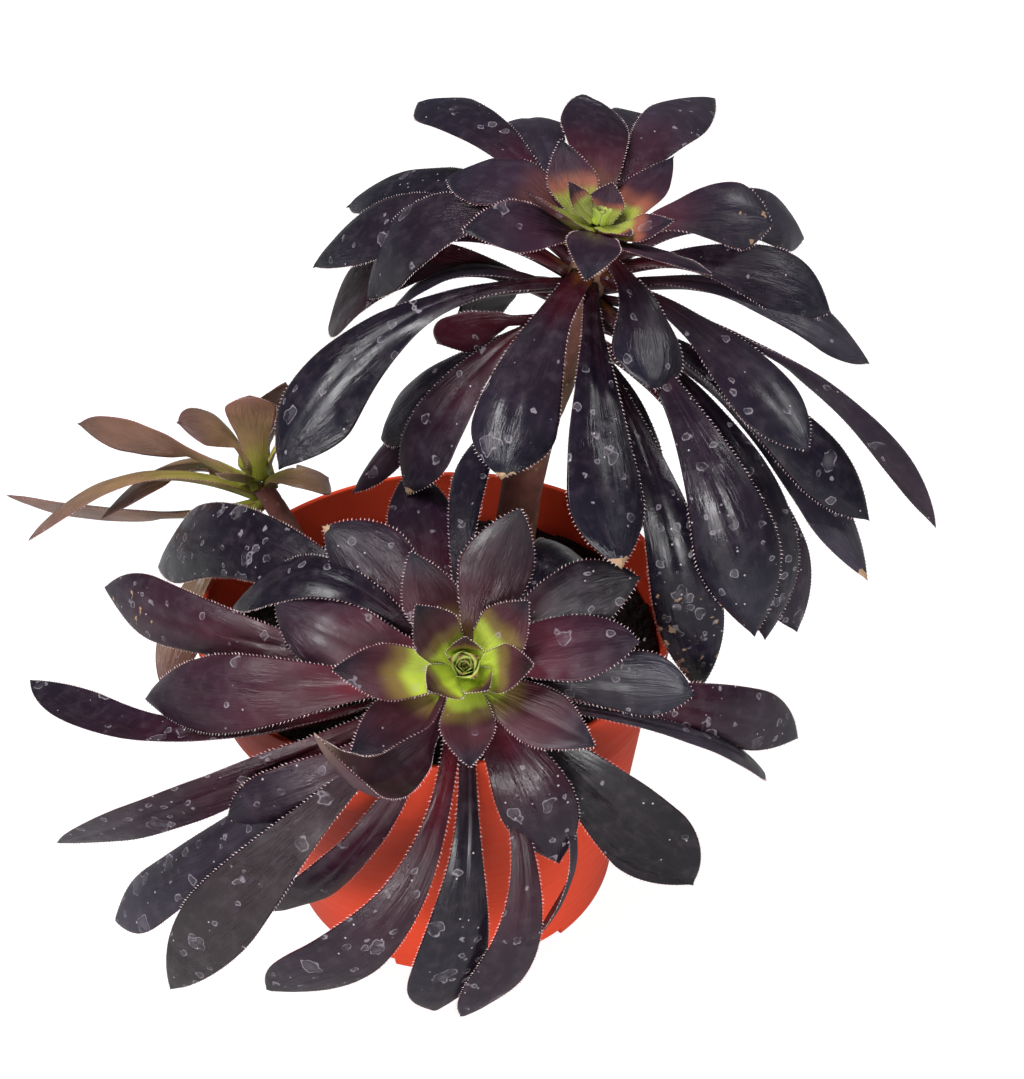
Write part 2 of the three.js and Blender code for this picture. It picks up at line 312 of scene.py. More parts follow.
class Crown:
    """Where a rosette's leaves meet: its place, the way it faces, and its stem's radius."""

    def __init__(self, name):
        net = bmesh.new()
        net.from_mesh(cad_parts[f"{name}_stem"].data)
        top = max(net.faces, key=lambda f: f.calc_center_median().z + f.normal.z * 0.01)
        level = [v.co.copy() for f in net.faces if f.normal.dot(top.normal) > 0.999 for v in f.verts]
        self.axis = top.normal.copy()
        height = max(p.dot(self.axis) for p in level)
        rim = [p for p in level if height - p.dot(self.axis) < 1e-4]
        low = Vector([min(p[i] for p in rim) for i in range(3)])
        high = Vector([max(p[i] for p in rim) for i in range(3)])
        self.cap = (low + high) / 2
        self.radius = max((p - self.cap).length for p in rim)
        self.place = self.cap + self.axis * CROWN_RISE
        net.free()


crowns = {name: Crown(name) for name in ("top", "front", "side")}
for name, crown in crowns.items():
    place = [round(v / MM, 1) for v in crown.place]
    print(name, "crown at", place, "radius", round(crown.radius / MM, 2))
guides = {n: guide_of(n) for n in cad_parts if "_leaf_" in n}

# %% [markdown]
# ## The blade of a leaf
# A leaf of this plant starts as a thick channelled stalk and broadens into a flat, slightly domed end
# with a short point. Mesh code suits it better than a curve or a sculpt: each ring across the leaf is a
# few points on its upper and lower side, and the rings follow the guide. Each point also stores what the
# finish needs: its own tint, and how wrinkled, water-marked or dry the leaf is there.

# %% Blade shape
STATIONS = 40
ABOVE = (-1, -0.95, -0.82, -0.62, -0.42, -0.24, -0.1, 0, 0.1, 0.24, 0.42, 0.62, 0.82, 0.95, 1)
BELOW = (0.88, 0.6, 0.25, -0.25, -0.6, -0.88)
BLADE_THICKNESS = 0.75 * MM
STALK_THICKNESS = 1.6 * MM
GROOVE = 0.35 * MM
RUFFLE = 0.4 * MM
SHAPE = {
    "widest": 0.77, "stalk": 0.2, "roundness": 0.9, "hook": 1.2, "thick": 1.0,
    "channel": 0.32, "cup": -0.13, "curl": -1.0, "ripple": 1.0, "scale": 1.0, "point": 2.1,
    "neck": 1.25, "roll": 0.0,
}


def blade_outline(t, form):
    """Half the width at t: a stalk that broadens, then two curved sides that meet in a point."""
    taper = mix(form["stalk"], 1, smooth(t / (form["widest"] + 0.04)) ** form["neck"])
    beyond = max(0.0, (t - form["widest"]) / (1 - form["widest"]))
    return taper * max(0.0, 1 - beyond ** form["point"]) ** form["roundness"]


def stations():
    """Steps from base to tip, closer together near the tip, where the outline turns."""
    return [1 - (1 - k / STATIONS) ** 1.3 for k in range(STATIONS)]


# %% Blade mesh
def blade(name, guide, seed, look, shape):
    """A leaf as one closed body. It rests in lists until it is stored with what its points know."""
    form = {**SHAPE, **shape}
    drift = random.Random(seed).uniform(0, 100)
    points = []
    for t in stations():
        along = guide.forward(t)
        rolled = Matrix.Rotation(-math.radians(form["roll"]) * smooth(t / 0.5), 3, along)
        across = rolled @ guide.across(t)
        face = across.cross(along)
        centre = guide.point(t) + face * (form["curl"] * MM * smooth((t - 0.6) / 0.4))
        wave = noise.noise(Vector((t * 4.2, drift, 0)))
        half = guide.half_width * form["scale"] * blade_outline(t, form)
        half *= 1 + 0.05 * wave * form["ripple"]
        end_taper = smooth((1 - t) / 0.06)
        thick = mix(STALK_THICKNESS, BLADE_THICKNESS, smooth(t / 0.55)) * form["thick"]
        thick *= min(1, guide.half_width / (6 * MM)) * mix(0.45, 1, end_taper)
        edge_rise = half * mix(form["channel"], form["cup"], smooth((t - 0.15) / 0.5))
        groove = GROOVE * smooth(t / 0.1) * (1 - smooth((t - 0.7) / 0.3)) * min(1, half / (4 * MM))
        for x, above in [(x, True) for x in ABOVE] + [(x, False) for x in BELOW]:
            level = edge_rise * x * x
            ruffle = noise.noise(Vector((t * 7, x * 1.3, drift + 9))) * RUFFLE * abs(x) * form["ripple"]
            if above:
                level += thick * (1 - abs(x) ** 2.6) - groove * math.exp(-(x / 0.16) ** 2)
            else:
                level -= thick * 1.15 * (1 - x * x)
            place = centre + across * (x * half) + face * (level + ruffle * end_taper)
            points.append((place, t, x, above, across * x + along * 0.55))
    hook = guide.forward(1) * (form["hook"] * 0.5 * MM)
    curl = guide.across(1).cross(guide.forward(1)) * (form["curl"] * MM)
    points.append((guide.tip + hook + curl, 1, 0, True, guide.forward(1)))
    size = len(ABOVE) + len(BELOW)
    faces, stalk_cap = tube_faces(STATIONS, size)
    last = (STATIONS - 1) * size
    faces += [(last + k, last + (k + 1) % size, len(points) - 1) for k in range(size)]
    faces.append(stalk_cap)
    piece = mesh_object(name, [p[0] for p in points], faces)
    store(piece.data, points, look, drift)
    return piece


# %% What each point of a leaf knows
LOOK = {
    "ramp": fade((0, 160, 96, 44), (0.1, 88, 26, 40), (0.4, 48, 33, 49), (1, 38, 36, 52)),
    "back": skin(56, 28, 42), "edge": skin(58, 30, 42), "wrinkles": 0.6, "marks": 0.3, "dry": 0.0,
        "scabs": 0.0, "gloss": 0.42,
}


def along_ramp(ramp, t):
    """The colour at t on a list of (t, colour) stops."""
    for (low, a), (high, b) in zip(ramp, ramp[1:]):
        if t <= high:
            return a.lerp(b, smooth((t - low) / (high - low)))
    return ramp[-1][1].copy()


def tint_at(look, t, x, above, drift):
    """A leaf's own colour at a point. The bands along it bend at the edges, and the back is its own."""
    sway = noise.noise(Vector((t * 3, x * 1.5, drift))) * 0.07
    colour = along_ramp(look["ramp"], min(max(t + sway + 0.08 * x * x * (1 - t), 0), 1))
    if not above:
        return colour.lerp(look["back"], 0.75 * smooth(t / 0.5))
    if abs(x) == 1:
        return look["edge"]
    return colour


def store(mesh, points, look, drift):
    """Writes what each point knows as attributes that the finish and the teeth read."""
    tint = mesh.color_attributes.new("tint", "FLOAT_COLOR", "POINT")
    colours = [tint_at(look, t, x, above, drift) for _, t, x, above, _ in points]
    tint.data.foreach_set("color", [c for colour in colours for c in (*colour, 1)])
    finish = mesh.color_attributes.new("finish", "FLOAT_COLOR", "POINT")
    for (_, t, _, _, _), cell in zip(points, finish.data):
        dry = max(look["dry"] * smooth((t - 0.955) / 0.04), look["scabs"] * smooth((t - 0.5) / 0.3))
        cell.color = (look["wrinkles"], look["marks"] * smooth((t - 0.1) / 0.5), dry, look["gloss"])
    margin = mesh.attributes.new("margin", "BOOLEAN", "POINT")
    margin.data.foreach_set("value", [abs(x) == 1 and t > 0.08 for _, t, x, _, _ in points])
    outward = mesh.attributes.new("outward", "FLOAT_VECTOR", "POINT")
    outward.data.foreach_set("vector", [c for point in points for c in point[4]])
    layer = mesh.uv_layers.new(name="leaf_map")
    corners = [((points[loop.vertex_index][2] + 1) / 2, points[loop.vertex_index][1]) for loop in mesh.loops]
    layer.data.foreach_set("uv", [c for corner in corners for c in corner])


# %% [markdown]
# ## The finish of a leaf
# The skin is waxy and nearly black, with long fine wrinkles, pale dots, and round marks where drops of
# hard water dried. One material serves every leaf: it takes the tint from the mesh and adds the rest
# from procedural patterns, so no two leaves repeat.

# %% Node helpers
class Nodes:
    """A node tree that is written as nested calls."""

    def node(self, kind, inputs=None, **settings):
        made = self.tree.nodes.new(kind)
        for key, value in settings.items():
            setattr(made, key, value)
        for key, value in (inputs or {}).items():
            self.put(made.inputs[key], value)
        return made

    def put(self, socket, value):
        if isinstance(value, bpy.types.NodeSocket):
            self.tree.links.new(value, socket)
        elif isinstance(value, Vector):
            socket.default_value = (*value, 1) if len(socket.default_value) == 4 else tuple(value)
        else:
            socket.default_value = value

    def math(self, operation, a, b=0.0, c=0.0, clamp=False):
        made = self.node("ShaderNodeMath", {0: a, 1: b, 2: c}, operation=operation, use_clamp=clamp)
        return made.outputs[0]

    def times(self, a, b):
        return self.math("MULTIPLY", a, b)

    def vector(self, operation, a, b):
        second = "Scale" if operation == "SCALE" else 1
        return self.node("ShaderNodeVectorMath", {0: a, second: b}, operation=operation).outputs[0]


class Net(Nodes):
    """The shader network of one material."""

    def __init__(self, name):
        self.material, self.tree, self.shader = new_material(name)

    def ramp(self, value, low, high, to_low=0.0, to_high=1.0):
        made = self.node("ShaderNodeMapRange", {0: value, 1: low, 2: high, 3: to_low, 4: to_high})
        made.interpolation_type = "SMOOTHSTEP"
        return made.outputs[0]

    def blend(self, amount, a, b):
        return self.node("ShaderNodeMix", {0: amount, 6: a, 7: b}, data_type="RGBA").outputs[2]

    def noise(self, place, scale, detail=2.0, roughness=0.5):
        inputs = {"Vector": place, "Scale": scale, "Detail": detail, "Roughness": roughness}
        return self.node("ShaderNodeTexNoise", inputs).outputs["Fac"]

    def cells(self, place, scale):
        return self.node("ShaderNodeTexVoronoi", {"Vector": place, "Scale": scale})

    def object_place(self):
        return self.node("ShaderNodeTexCoord").outputs["Object"]

    def bump(self, height, distance, strength=1.0, under=None):
        inputs = {"Height": height, "Distance": distance, "Strength": strength}
        if under is not None:
            inputs["Normal"] = under
        return self.node("ShaderNodeBump", inputs).outputs["Normal"]

    def finish(self, **sockets):
        for key, value in sockets.items():
            self.put(self.shader.inputs[key.replace("_", " ")], value)
        return self.material


# %% Leaf material
def chance_of(net, cells):
    """Three random numbers that stay the same all over one cell."""
    return net.node("ShaderNodeSeparateColor", {"Color": cells.outputs["Color"]}).outputs


def round_dots(net, place, scale, core, edge, share):
    """A soft round dot in some of the cells."""
    cells = net.cells(place, scale)
    dot = net.ramp(cells.outputs["Distance"], core, edge, 1.0, 0.0)
    return net.times(dot, net.math("LESS_THAN", chance_of(net, cells)["Red"], share))


def drop_rings(net, place, scale, radius, line, share):
    """Dried drops: a thin, broken ring in some of the cells, with a faint veil inside."""
    cells = net.cells(place, scale)
    chance = chance_of(net, cells)
    reach = net.math("MULTIPLY_ADD", chance["Green"], radius, radius * 0.7)
    inside = net.math("SUBTRACT", reach, cells.outputs["Distance"])
    ring = net.ramp(net.math("ABSOLUTE", inside), line * 0.4, line, 1.0, 0.0)
    veil = net.ramp(inside, 0.0, radius, 0.12, 0.3)
    veil = net.times(veil, net.math("GREATER_THAN", inside, 0.0))
    mark = net.math("MAXIMUM", ring, veil)
    return net.times(mark, net.math("LESS_THAN", chance["Red"], share))


def leaf_material():
    net = Net("waxy_leaf")
    place = net.object_place()
    tint = net.node("ShaderNodeAttribute", attribute_name="tint").outputs["Color"]
    finish = net.node("ShaderNodeAttribute", attribute_name="finish")
    parts = net.node("ShaderNodeSeparateColor", {"Color": finish.outputs["Color"]}).outputs
    wrinkles, marks, dry = parts["Red"], parts["Green"], parts["Blue"]
    gloss = finish.outputs["Alpha"]
    leaf_map = net.node("ShaderNodeUVMap", uv_map="leaf_map").outputs["UV"]
    lengthwise = net.node("ShaderNodeMapping", {"Vector": leaf_map, "Scale": (11, 4.5, 1)}).outputs[0]
    shift = net.vector("ADD", lengthwise, net.vector("SCALE", place, 90.0))
    streaks = net.noise(shift, 1.3, 4.0, 0.6)
    clouds = net.noise(place, 70.0, 3.0)
    mottle = net.noise(place, 330.0, 3.0)
    body = net.blend(net.ramp(clouds, 0.35, 0.65, 0.0, 0.6), tint, net.blend(0.6, tint, rgb(8, 6, 12)))
    body = net.blend(net.ramp(streaks, 0.5, 0.8, 0.0, 0.1), body, rgb(104, 84, 96))
    body = net.blend(net.ramp(mottle, 0.45, 0.75, 0.0, 0.08), body, rgb(120, 104, 116))
    # Water marks: large irregular rings, small ones, and pinhead dots.
    worn = net.ramp(net.noise(place, 420.0, 2.0), 0.35, 0.55, 0.15, 1.0)
    share = net.times(marks, 0.5)
    large = drop_rings(net, warped(net, place, 330.0, 0.0022), 150.0, 0.24, 0.035, share)
    share = net.times(marks, 0.42)
    small = drop_rings(net, warped(net, place, 600.0, 0.0007), 330.0, 0.22, 0.06, share)
    dot = round_dots(net, place, 520.0, 0.06, 0.16, net.times(marks, 0.3))
    rings = net.times(net.math("MAXIMUM", large, small), worn)
    body = net.blend(net.times(rings, 0.5), body, rgb(158, 150, 160))
    body = net.blend(net.times(dot, 0.7), body, rgb(205, 198, 200))
    scab = net.math("MULTIPLY_ADD", dry, 0.5, net.noise(place, 350.0, 3.0))
    crust = net.blend(clouds, rgb(120, 84, 62), rgb(206, 172, 138))
    body = net.blend(net.ramp(scab, 0.78, 0.83), body, crust)
    # Wrinkles come in patches, and fade out where the skin is full.
    patches = net.ramp(net.noise(place, 55.0, 2.0), 0.38, 0.62, 0.1, 1.0)
    strength = net.times(wrinkles, patches)
    crease = net.times(net.math("SUBTRACT", streaks, 0.5), strength)
    normal = net.bump(crease, 0.0007, 1.0)
    normal = net.bump(mottle, 0.0001, 0.6, normal)
    normal = net.bump(net.noise(place, 900.0, 2.0), 0.00004, 0.5, normal)
    rough = net.ramp(net.noise(place, 160.0, 3.0), 0.3, 0.7, -0.08, 0.08)
    rough = net.math("ADD", rough, net.math("MULTIPLY_ADD", gloss, -0.22, 0.42))
    rough = net.math("ADD", rough, net.times(rings, 0.25), clamp=True)
    return net.finish(Base_Color=body, Roughness=rough, Normal=normal)


def warped(net, place, scale, amount):
    """The place, pushed about a little, so that rings on it are not true circles."""
    push = net.node("ShaderNodeTexNoise", {"Vector": place, "Scale": scale, "Detail": 1.0}).outputs["Color"]
    centred = net.vector("ADD", push, (-0.5, -0.5, -0.5))
    return net.vector("ADD", place, net.vector("SCALE", centred, amount * 2))


def tooth_material():
    net = Net("pale_tooth")
    shade = net.noise(net.object_place(), 700.0)
    colour = net.blend(shade, rgb(196, 158, 164), rgb(240, 226, 228))
    return net.finish(Base_Color=colour, Roughness=0.45)


waxy_leaf = leaf_material()
pale_tooth = tooth_material()
print("finishes:", waxy_leaf.name, pale_tooth.name)

# %% [markdown]
# ## Teeth along a leaf's edge
# Each leaf is fringed with tiny pale hooks, about one to a millimetre. That is work for Geometry Nodes:
# the edge becomes a curve, the curve is stepped at the teeth's pitch, and every step gets one small cone
# that leans out and a little forward. Realize Instances then makes them real faces.

# %% Teeth tree
SOCKETS = {float: "NodeSocketFloat", int: "NodeSocketInt", Vector: "NodeSocketVector"}


class Tree(Nodes):
    """A geometry node tree with named inputs, applied to one piece. An input of None is a finish."""

    def __init__(self, name, inputs):
        self.tree = bpy.data.node_groups.new(name, "GeometryNodeTree")
        face = self.tree.interface
        face.new_socket("Geometry", in_out="OUTPUT", socket_type="NodeSocketGeometry")
        face.new_socket("Geometry", in_out="INPUT", socket_type="NodeSocketGeometry")
        for key, value in inputs.items():
            kind = SOCKETS.get(type(value), "NodeSocketMaterial")
            made = face.new_socket(key, in_out="INPUT", socket_type=kind)
            if value is not None:
                made.default_value = value
        self.start = self.node("NodeGroupInput")
        self.end = self.node("NodeGroupOutput")

    def given(self, name):
        return self.start.outputs[name]

    def painted(self, geometry, finish):
        inputs = {"Geometry": geometry, "Material": self.given(finish)}
        return self.node("GeometryNodeSetMaterial", inputs).outputs[0]

    def real_copies(self, points, shape, turn, size):
        """A copy of the shape at every point, made into real faces."""
        inputs = {"Points": points, "Instance": shape, "Rotation": turn, "Scale": size}
        copies = self.node("GeometryNodeInstanceOnPoints", inputs)
        return self.node("GeometryNodeRealizeInstances", {"Geometry": copies.outputs[0]}).outputs[0]

    def random(self, data_type, inputs):
        seed = {"Seed": self.given("Seed")}
        return self.node("FunctionNodeRandomValue", {**inputs, **seed}, data_type=data_type)

    def apply(self, piece, **values):
        """Runs the tree on a piece, and leaves a plain mesh in its place."""
        modifier = piece.modifiers.new("build", "NODES")
        modifier.node_group = self.tree
        sockets = {s.name: s.identifier for s in self.tree.interface.items_tree if s.in_out == "INPUT"}
        for key, value in values.items():
            modifier[sockets[key.replace("_", " ")]] = value
        plain(piece)


def plain(piece):
    """Turns what a piece's modifiers make into its own mesh, and removes the modifiers."""
    bpy.context.view_layer.update()
    graph = bpy.context.evaluated_depsgraph_get()
    final = piece.evaluated_get(graph)
    made = bpy.data.meshes.new_from_object(final, preserve_all_data_layers=True, depsgraph=graph)
    piece.modifiers.clear()
    old, piece.data = piece.data, made
    made.name = piece.name
    bpy.data.meshes.remove(old)


TOOTH_PITCH = 0.95
TOOTH_LENGTH = 0.62
SHORT_TOOTH = 0.3


def teeth_tree():
    tree = Tree("teeth_along_an_edge", {
        "Pitch": TOOTH_PITCH * MM, "Tooth Length": TOOTH_LENGTH * MM, "Tooth Width": 0.11 * MM,
        "Seed": 1, "Leaf Finish": None, "Tooth Finish": None,
    })
    margin = tree.node("GeometryNodeInputNamedAttribute", {"Name": "margin"}, data_type="BOOLEAN")
    outward = tree.node("GeometryNodeInputNamedAttribute", {"Name": "outward"}, data_type="FLOAT_VECTOR")
    leaf = tree.given("Geometry")
    line = tree.node("GeometryNodeMeshToCurve", {"Mesh": leaf, "Selection": margin.outputs[0]})
    stepping = {"Curve": line.outputs[0], "Length": tree.given("Pitch")}
    steps = tree.node("GeometryNodeResampleCurve", stepping, mode="LENGTH")
    tooth = tree.node("GeometryNodeMeshCone", {
        "Vertices": 4, "Radius Top": 0.0, "Radius Bottom": tree.given("Tooth Width"),
        "Depth": tree.given("Tooth Length")}, fill_type="NGON")
    turn = tree.node("FunctionNodeAlignRotationToVector", {"Vector": outward.outputs[0]}, axis="Z")
    size = tree.random("FLOAT", {2: 0.55, 3: 1.25}).outputs[1]
    fringe = tree.real_copies(steps.outputs[0], tooth.outputs["Mesh"], turn.outputs[0], size)
    join = tree.node("GeometryNodeJoinGeometry")
    tree.put(join.inputs[0], tree.painted(fringe, "Tooth Finish"))
    tree.put(join.inputs[0], tree.painted(leaf, "Leaf Finish"))
    tree.put(tree.end.inputs[0], join.outputs[0])
    return tree


teeth = teeth_tree()


def toothed_leaf(name, guide, seed, look, shape, pitch=TOOTH_PITCH, tooth=TOOTH_LENGTH):
    piece = blade(name, guide, seed, {**LOOK, **look}, shape)
    teeth.apply(piece, Pitch=pitch * MM, Tooth_Length=tooth * MM, Seed=seed,
                Leaf_Finish=waxy_leaf, Tooth_Finish=pale_tooth)
    return piece


# %% [markdown]
# ## The grown leaves
# Leaves age from the crown outwards: plum near it, then nearly black and water-marked. A few named looks
# cover that, and a leaf that has its own curl, fold or dry tip says so. Two greyer looks are painted sheen
# on leaves that catch the room's light, the matt one partly over its own dull grey. A few blades are also
# rolled or widened beyond their solids.

# %% Looks by age, and painted sheen
SLATE = {}
BLACK = {
    "ramp": fade((0, 90, 28, 34), (0.1, 52, 18, 32), (0.45, 30, 22, 38), (1, 32, 29, 45)),
    "gloss": 0.6,
}
PLUM = {
    "ramp": fade((0, 150, 92, 60), (0.14, 130, 50, 62), (0.4, 100, 44, 60), (0.7, 70, 38, 54),
        (1, 54, 38, 56)),
    "back": skin(76, 34, 50), "edge": skin(100, 44, 58), "marks": 0.12, "gloss": 0.25,
}
MAROON = {
    "ramp": fade((0, 160, 84, 44), (0.1, 104, 22, 36), (0.45, 68, 24, 42), (0.8, 50, 32, 50),
        (1, 42, 34, 52)),
    "back": skin(84, 24, 38), "edge": skin(96, 38, 52), "gloss": 0.45,
}
# Painted sheen: a lighter, greyer copy of the slate leaf, for leaves that catch the room's light.
GREY_PAINTED_SHEEN = {
    "ramp": fade((0, 96, 40, 50), (0.4, 62, 52, 68), (1, 72, 66, 82)),
    "back": skin(76, 62, 78), "gloss": 0.2, "wrinkles": 0.6, "marks": 0.15,
}
# A dull, greyish leaf: its grey is partly its own colour and partly painted sheen of the room's light.
MATT_PAINTED_SHEEN = {
    "ramp": fade((0, 74, 30, 42), (0.3, 64, 42, 50), (0.7, 60, 50, 54), (1, 54, 47, 52)),
    "back": skin(60, 36, 46), "gloss": 0.25, "wrinkles": 1.6, "marks": 0.3,
}
TAWNY = {
    "ramp": fade((0, 176, 186, 46, 1), (0.22, 156, 146, 62, 1), (0.5, 138, 108, 76, 1),
        (1, 122, 92, 84, 1)),
    "back": skin(140, 102, 86, 1), "edge": skin(150, 84, 80, 1), "gloss": 0.35, "marks": 0.08,
        "wrinkles": 1.2,
}
WATERED = {"marks": 0.8}
SCABBED = {"marks": 0.8, "scabs": 0.36}
FRAYED = {"dry": 0.95}

BLUNT = {"widest": 0.8, "point": 3.0, "neck": 1.8, "hook": 0}
POINTED = {
    "widest": 0.58, "stalk": 0.34, "neck": 1.1, "point": 1.6, "roundness": 1.0, "cup": 0.0, "curl": 0.0,
}
GROWN = {
    "top_leaf_back": ({**PLUM, "ramp": fade((0, 160, 150, 84), (0.2, 136, 88, 70), (0.4, 84, 40, 56),
        (0.65, 48, 34, 52), (1, 44, 40, 58))}, POINTED),
    "top_leaf_inner_left": ({**PLUM, "ramp": fade((0, 150, 130, 70), (0.3, 130, 78, 76), (0.55, 64, 44, 64),
        (1, 46, 42, 60))}, {"widest": 0.62, "stalk": 0.34, "neck": 1.1, "scale": 1.1, "roll": 22}),
    "top_leaf_back_right": ({"ramp": fade((0, 130, 50, 56), (0.35, 84, 46, 62), (0.7, 66, 56, 74),
        (1, 72, 66, 80))}, {"widest": 0.66, "point": 1.7}),
    "top_leaf_back_left": ({"ramp": fade((0, 120, 40, 50), (0.35, 74, 34, 52), (0.6, 44, 36, 54),
        (1, 46, 44, 62)), "gloss": 0.2}, {"neck": 1.1}),
    "top_leaf_back_left_low": (GREY_PAINTED_SHEEN, {"curl": -4.0}),
    "top_leaf_right_upper": ({**PLUM, "scabs": 0.3, "ramp": fade((0, 150, 90, 60), (0.25, 96, 48, 62),
        (0.6, 52, 42, 58), (1, 48, 44, 60))}, {}),
    "top_leaf_right_behind": (GREY_PAINTED_SHEEN, {}),
    "top_leaf_front_left": ({**FRAYED, "gloss": 0.7}, {"cup": -0.2, "stalk": 0.3}),
    "top_leaf_front_middle": ({**BLACK, **FRAYED, "marks": 0.6}, {"cup": -0.2, "curl": -2.5}),
    "top_leaf_left_longest": ({**BLACK, "gloss": 0.7}, {"cup": -0.2, "neck": 1.9, "widest": 0.8}),
    "top_leaf_left_purple": ({**MAROON, **FRAYED}, {"cup": -0.05}),
    "top_leaf_left_under": ({**MAROON, "gloss": 0.1, "ramp": fade((0, 130, 50, 40), (0.12, 96, 20, 34),
        (0.5, 60, 20, 36), (1, 44, 22, 36))}, {"cup": 0.1, "widest": 0.8, "point": 3.0, "neck": 1.0,
        "hook": 0}),
    "top_leaf_front_dark": ({**MAROON, **WATERED}, {}),
    "top_leaf_front_folded": ({**BLACK, **WATERED}, {"cup": -0.24, "neck": 1.9}),
    "top_leaf_front_broad": ({**SLATE, "gloss": 0.7, "marks": 0.6}, {"cup": -0.24, "neck": 1.9}),
    "top_leaf_front_hanging": ({**BLACK, **SCABBED}, {"cup": -0.16}),
    "top_leaf_right_hanging": (BLACK, {"cup": -0.2}),
    "top_leaf_right_drooping": ({**GREY_PAINTED_SHEEN, **FRAYED}, {}),
    "top_leaf_right_edge_on": (GREY_PAINTED_SHEEN, {}),
    "top_leaf_left_back": ({"gloss": 0.1, "ramp": fade((0, 84, 26, 42), (0.4, 34, 28, 44),
        (1, 34, 34, 50))}, {"cup": -0.3, "neck": 0.9, "scale": 1.3, "roll": 58}),
    "top_leaf_left_outer": ({"gloss": 0.3, "wrinkles": 1.0}, {"cup": -0.2, "neck": 0.8, "widest": 0.68,
        "scale": 1.2, "roll": 25}),
    "top_leaf_left_curved": ({"gloss": 0.3, "wrinkles": 1.0}, {"cup": -0.2, "neck": 0.8, "widest": 0.7,
        "scale": 1.2, "roll": 30}),
    "top_leaf_right_low": (GREY_PAINTED_SHEEN, {}),
    "front_leaf_right_inner": (PLUM, {"widest": 0.58, "stalk": 0.4, "neck": 1.0}),
    "front_leaf_left_inner": (PLUM, {"widest": 0.6, "stalk": 0.36, "neck": 1.0}),
    "front_leaf_back_folded": ({**MAROON, **FRAYED, "gloss": 0.3}, {"widest": 0.66, "neck": 1.0}),
    "front_leaf_back_pale": ({**PLUM, "ramp": fade((0, 160, 170, 60), (0.16, 140, 100, 66),
        (0.35, 100, 54, 66), (0.6, 78, 52, 62), (1, 54, 46, 54)), "wrinkles": 1.2, "gloss": 0.4},
        {"widest": 0.6, "stalk": 0.34, "neck": 1.0, "point": 1.7}),
    "front_leaf_right_dark": ({**MAROON, "ramp": fade((0, 110, 50, 60), (0.4, 84, 52, 64),
        (0.65, 36, 24, 36), (1, 14, 12, 20)), "gloss": 0.2}, {"widest": 0.66}),
    "front_leaf_right_flat": ({"gloss": 0.3}, {}),
    "front_leaf_right_long": ({**MAROON, "marks": 0.6}, {}),
    "front_leaf_front_right": ({**BLACK, "wrinkles": 1.0, "ramp": fade((0, 80, 40, 50), (0.4, 34, 26, 34),
        (1, 18, 14, 22))}, {"widest": 0.72, "cup": 0.14}),
    # Its pale tan tip is partly the leaf's own colour and partly a painted highlight.
    "front_leaf_left_curled": ({**PLUM, "ramp": fade((0, 96, 44, 62), (0.5, 58, 30, 46),
        (0.82, 104, 70, 76, 0.8), (1, 196, 170, 146, 0.9))}, {"widest": 0.6, "stalk": 0.5, "neck": 1.0,
        "cup": 0.5, "curl": 1.0, "scale": 1.1}),
    "front_leaf_left_pale": (PLUM, {"widest": 0.62, "neck": 1.2}),
    "front_leaf_left_upper": ({**PLUM, "scabs": 0.24, "marks": 0.5}, {}),
    "front_leaf_left_behind": ({**BLACK, **WATERED, "gloss": 0.5}, {"neck": 0.9, "stalk": 0.4}),
    "front_leaf_left_boat": ({**MAROON, "marks": 0.6}, {"cup": 0.3, "curl": 2.0}),
    "front_leaf_left_lance": ({**MAROON, **WATERED}, {"widest": 0.64, "cup": 0.1}),
    "front_leaf_left_round": ({**GREY_PAINTED_SHEEN, **WATERED}, {"widest": 0.84, "point": 3.0, "stalk": 0.4, "hook": 0}),
    "front_leaf_left_broad": (MATT_PAINTED_SHEEN, {"widest": 0.66, "cup": 0.05, "neck": 1.8}),
    "front_leaf_front_left_low": (MAROON, {"roll": -20}),
    "front_leaf_front_left_long": ({**MAROON, **WATERED}, {**BLUNT, "scale": 1.2, "roll": -25}),
    "front_leaf_front_long": ({**BLACK, "marks": 0.7}, BLUNT),
    "front_leaf_front_narrow": ({**MAROON, "marks": 0.7}, {**BLUNT, "roll": -22}),
    "side_leaf_upright": ({**TAWNY, "ramp": fade((0, 190, 200, 60, 1), (0.5, 156, 150, 60, 1),
        (0.85, 134, 102, 66, 1), (1, 96, 58, 52, 1))}, {"widest": 0.82, "point": 3.0, "hook": 0,
        "stalk": 0.4}),
    "front_leaf_front_short": ({**MAROON, "gloss": 0.7}, {"widest": 0.62, "stalk": 0.34, "neck": 1.0}),
}

# %% Grown leaves
def settle(piece, slot, *nodes):
    """Every finished piece of the plant rides on the one body, and stands for its nodes."""
    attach(piece, "root")
    if nodes:
        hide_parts(*nodes)


def tooth_on(head):
    return SHORT_TOOTH if head == "side" else TOOTH_LENGTH


def slot_of(head):
    return "side_leaf" if head == "side" else "leaf"


for number, node in enumerate(sorted(guides)):
    head = node.split("_")[0]
    look, shape = GROWN.get(node, (TAWNY if head == "side" else SLATE, {}))
    name = node.replace("_leaf_", "_blade_")
    piece = toothed_leaf(name, guides[node], GROWN_SEED + number, look, shape, tooth=tooth_on(head))
    settle(piece, slot_of(head), node)
print("grown leaves:", len(guides), "corners in the last:", len(piece.data.loops))

# %% [markdown]
# ## Leaves that the model leaves out
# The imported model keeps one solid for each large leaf. The real plant has more, tucked behind and below
# those, and they close the gaps in each head. They follow the same kind of line: from the stem to a tip,
# bent by a lift and a sway, and rolled about it. Most of these rows were worked out by a separate program,
# and not set by hand.

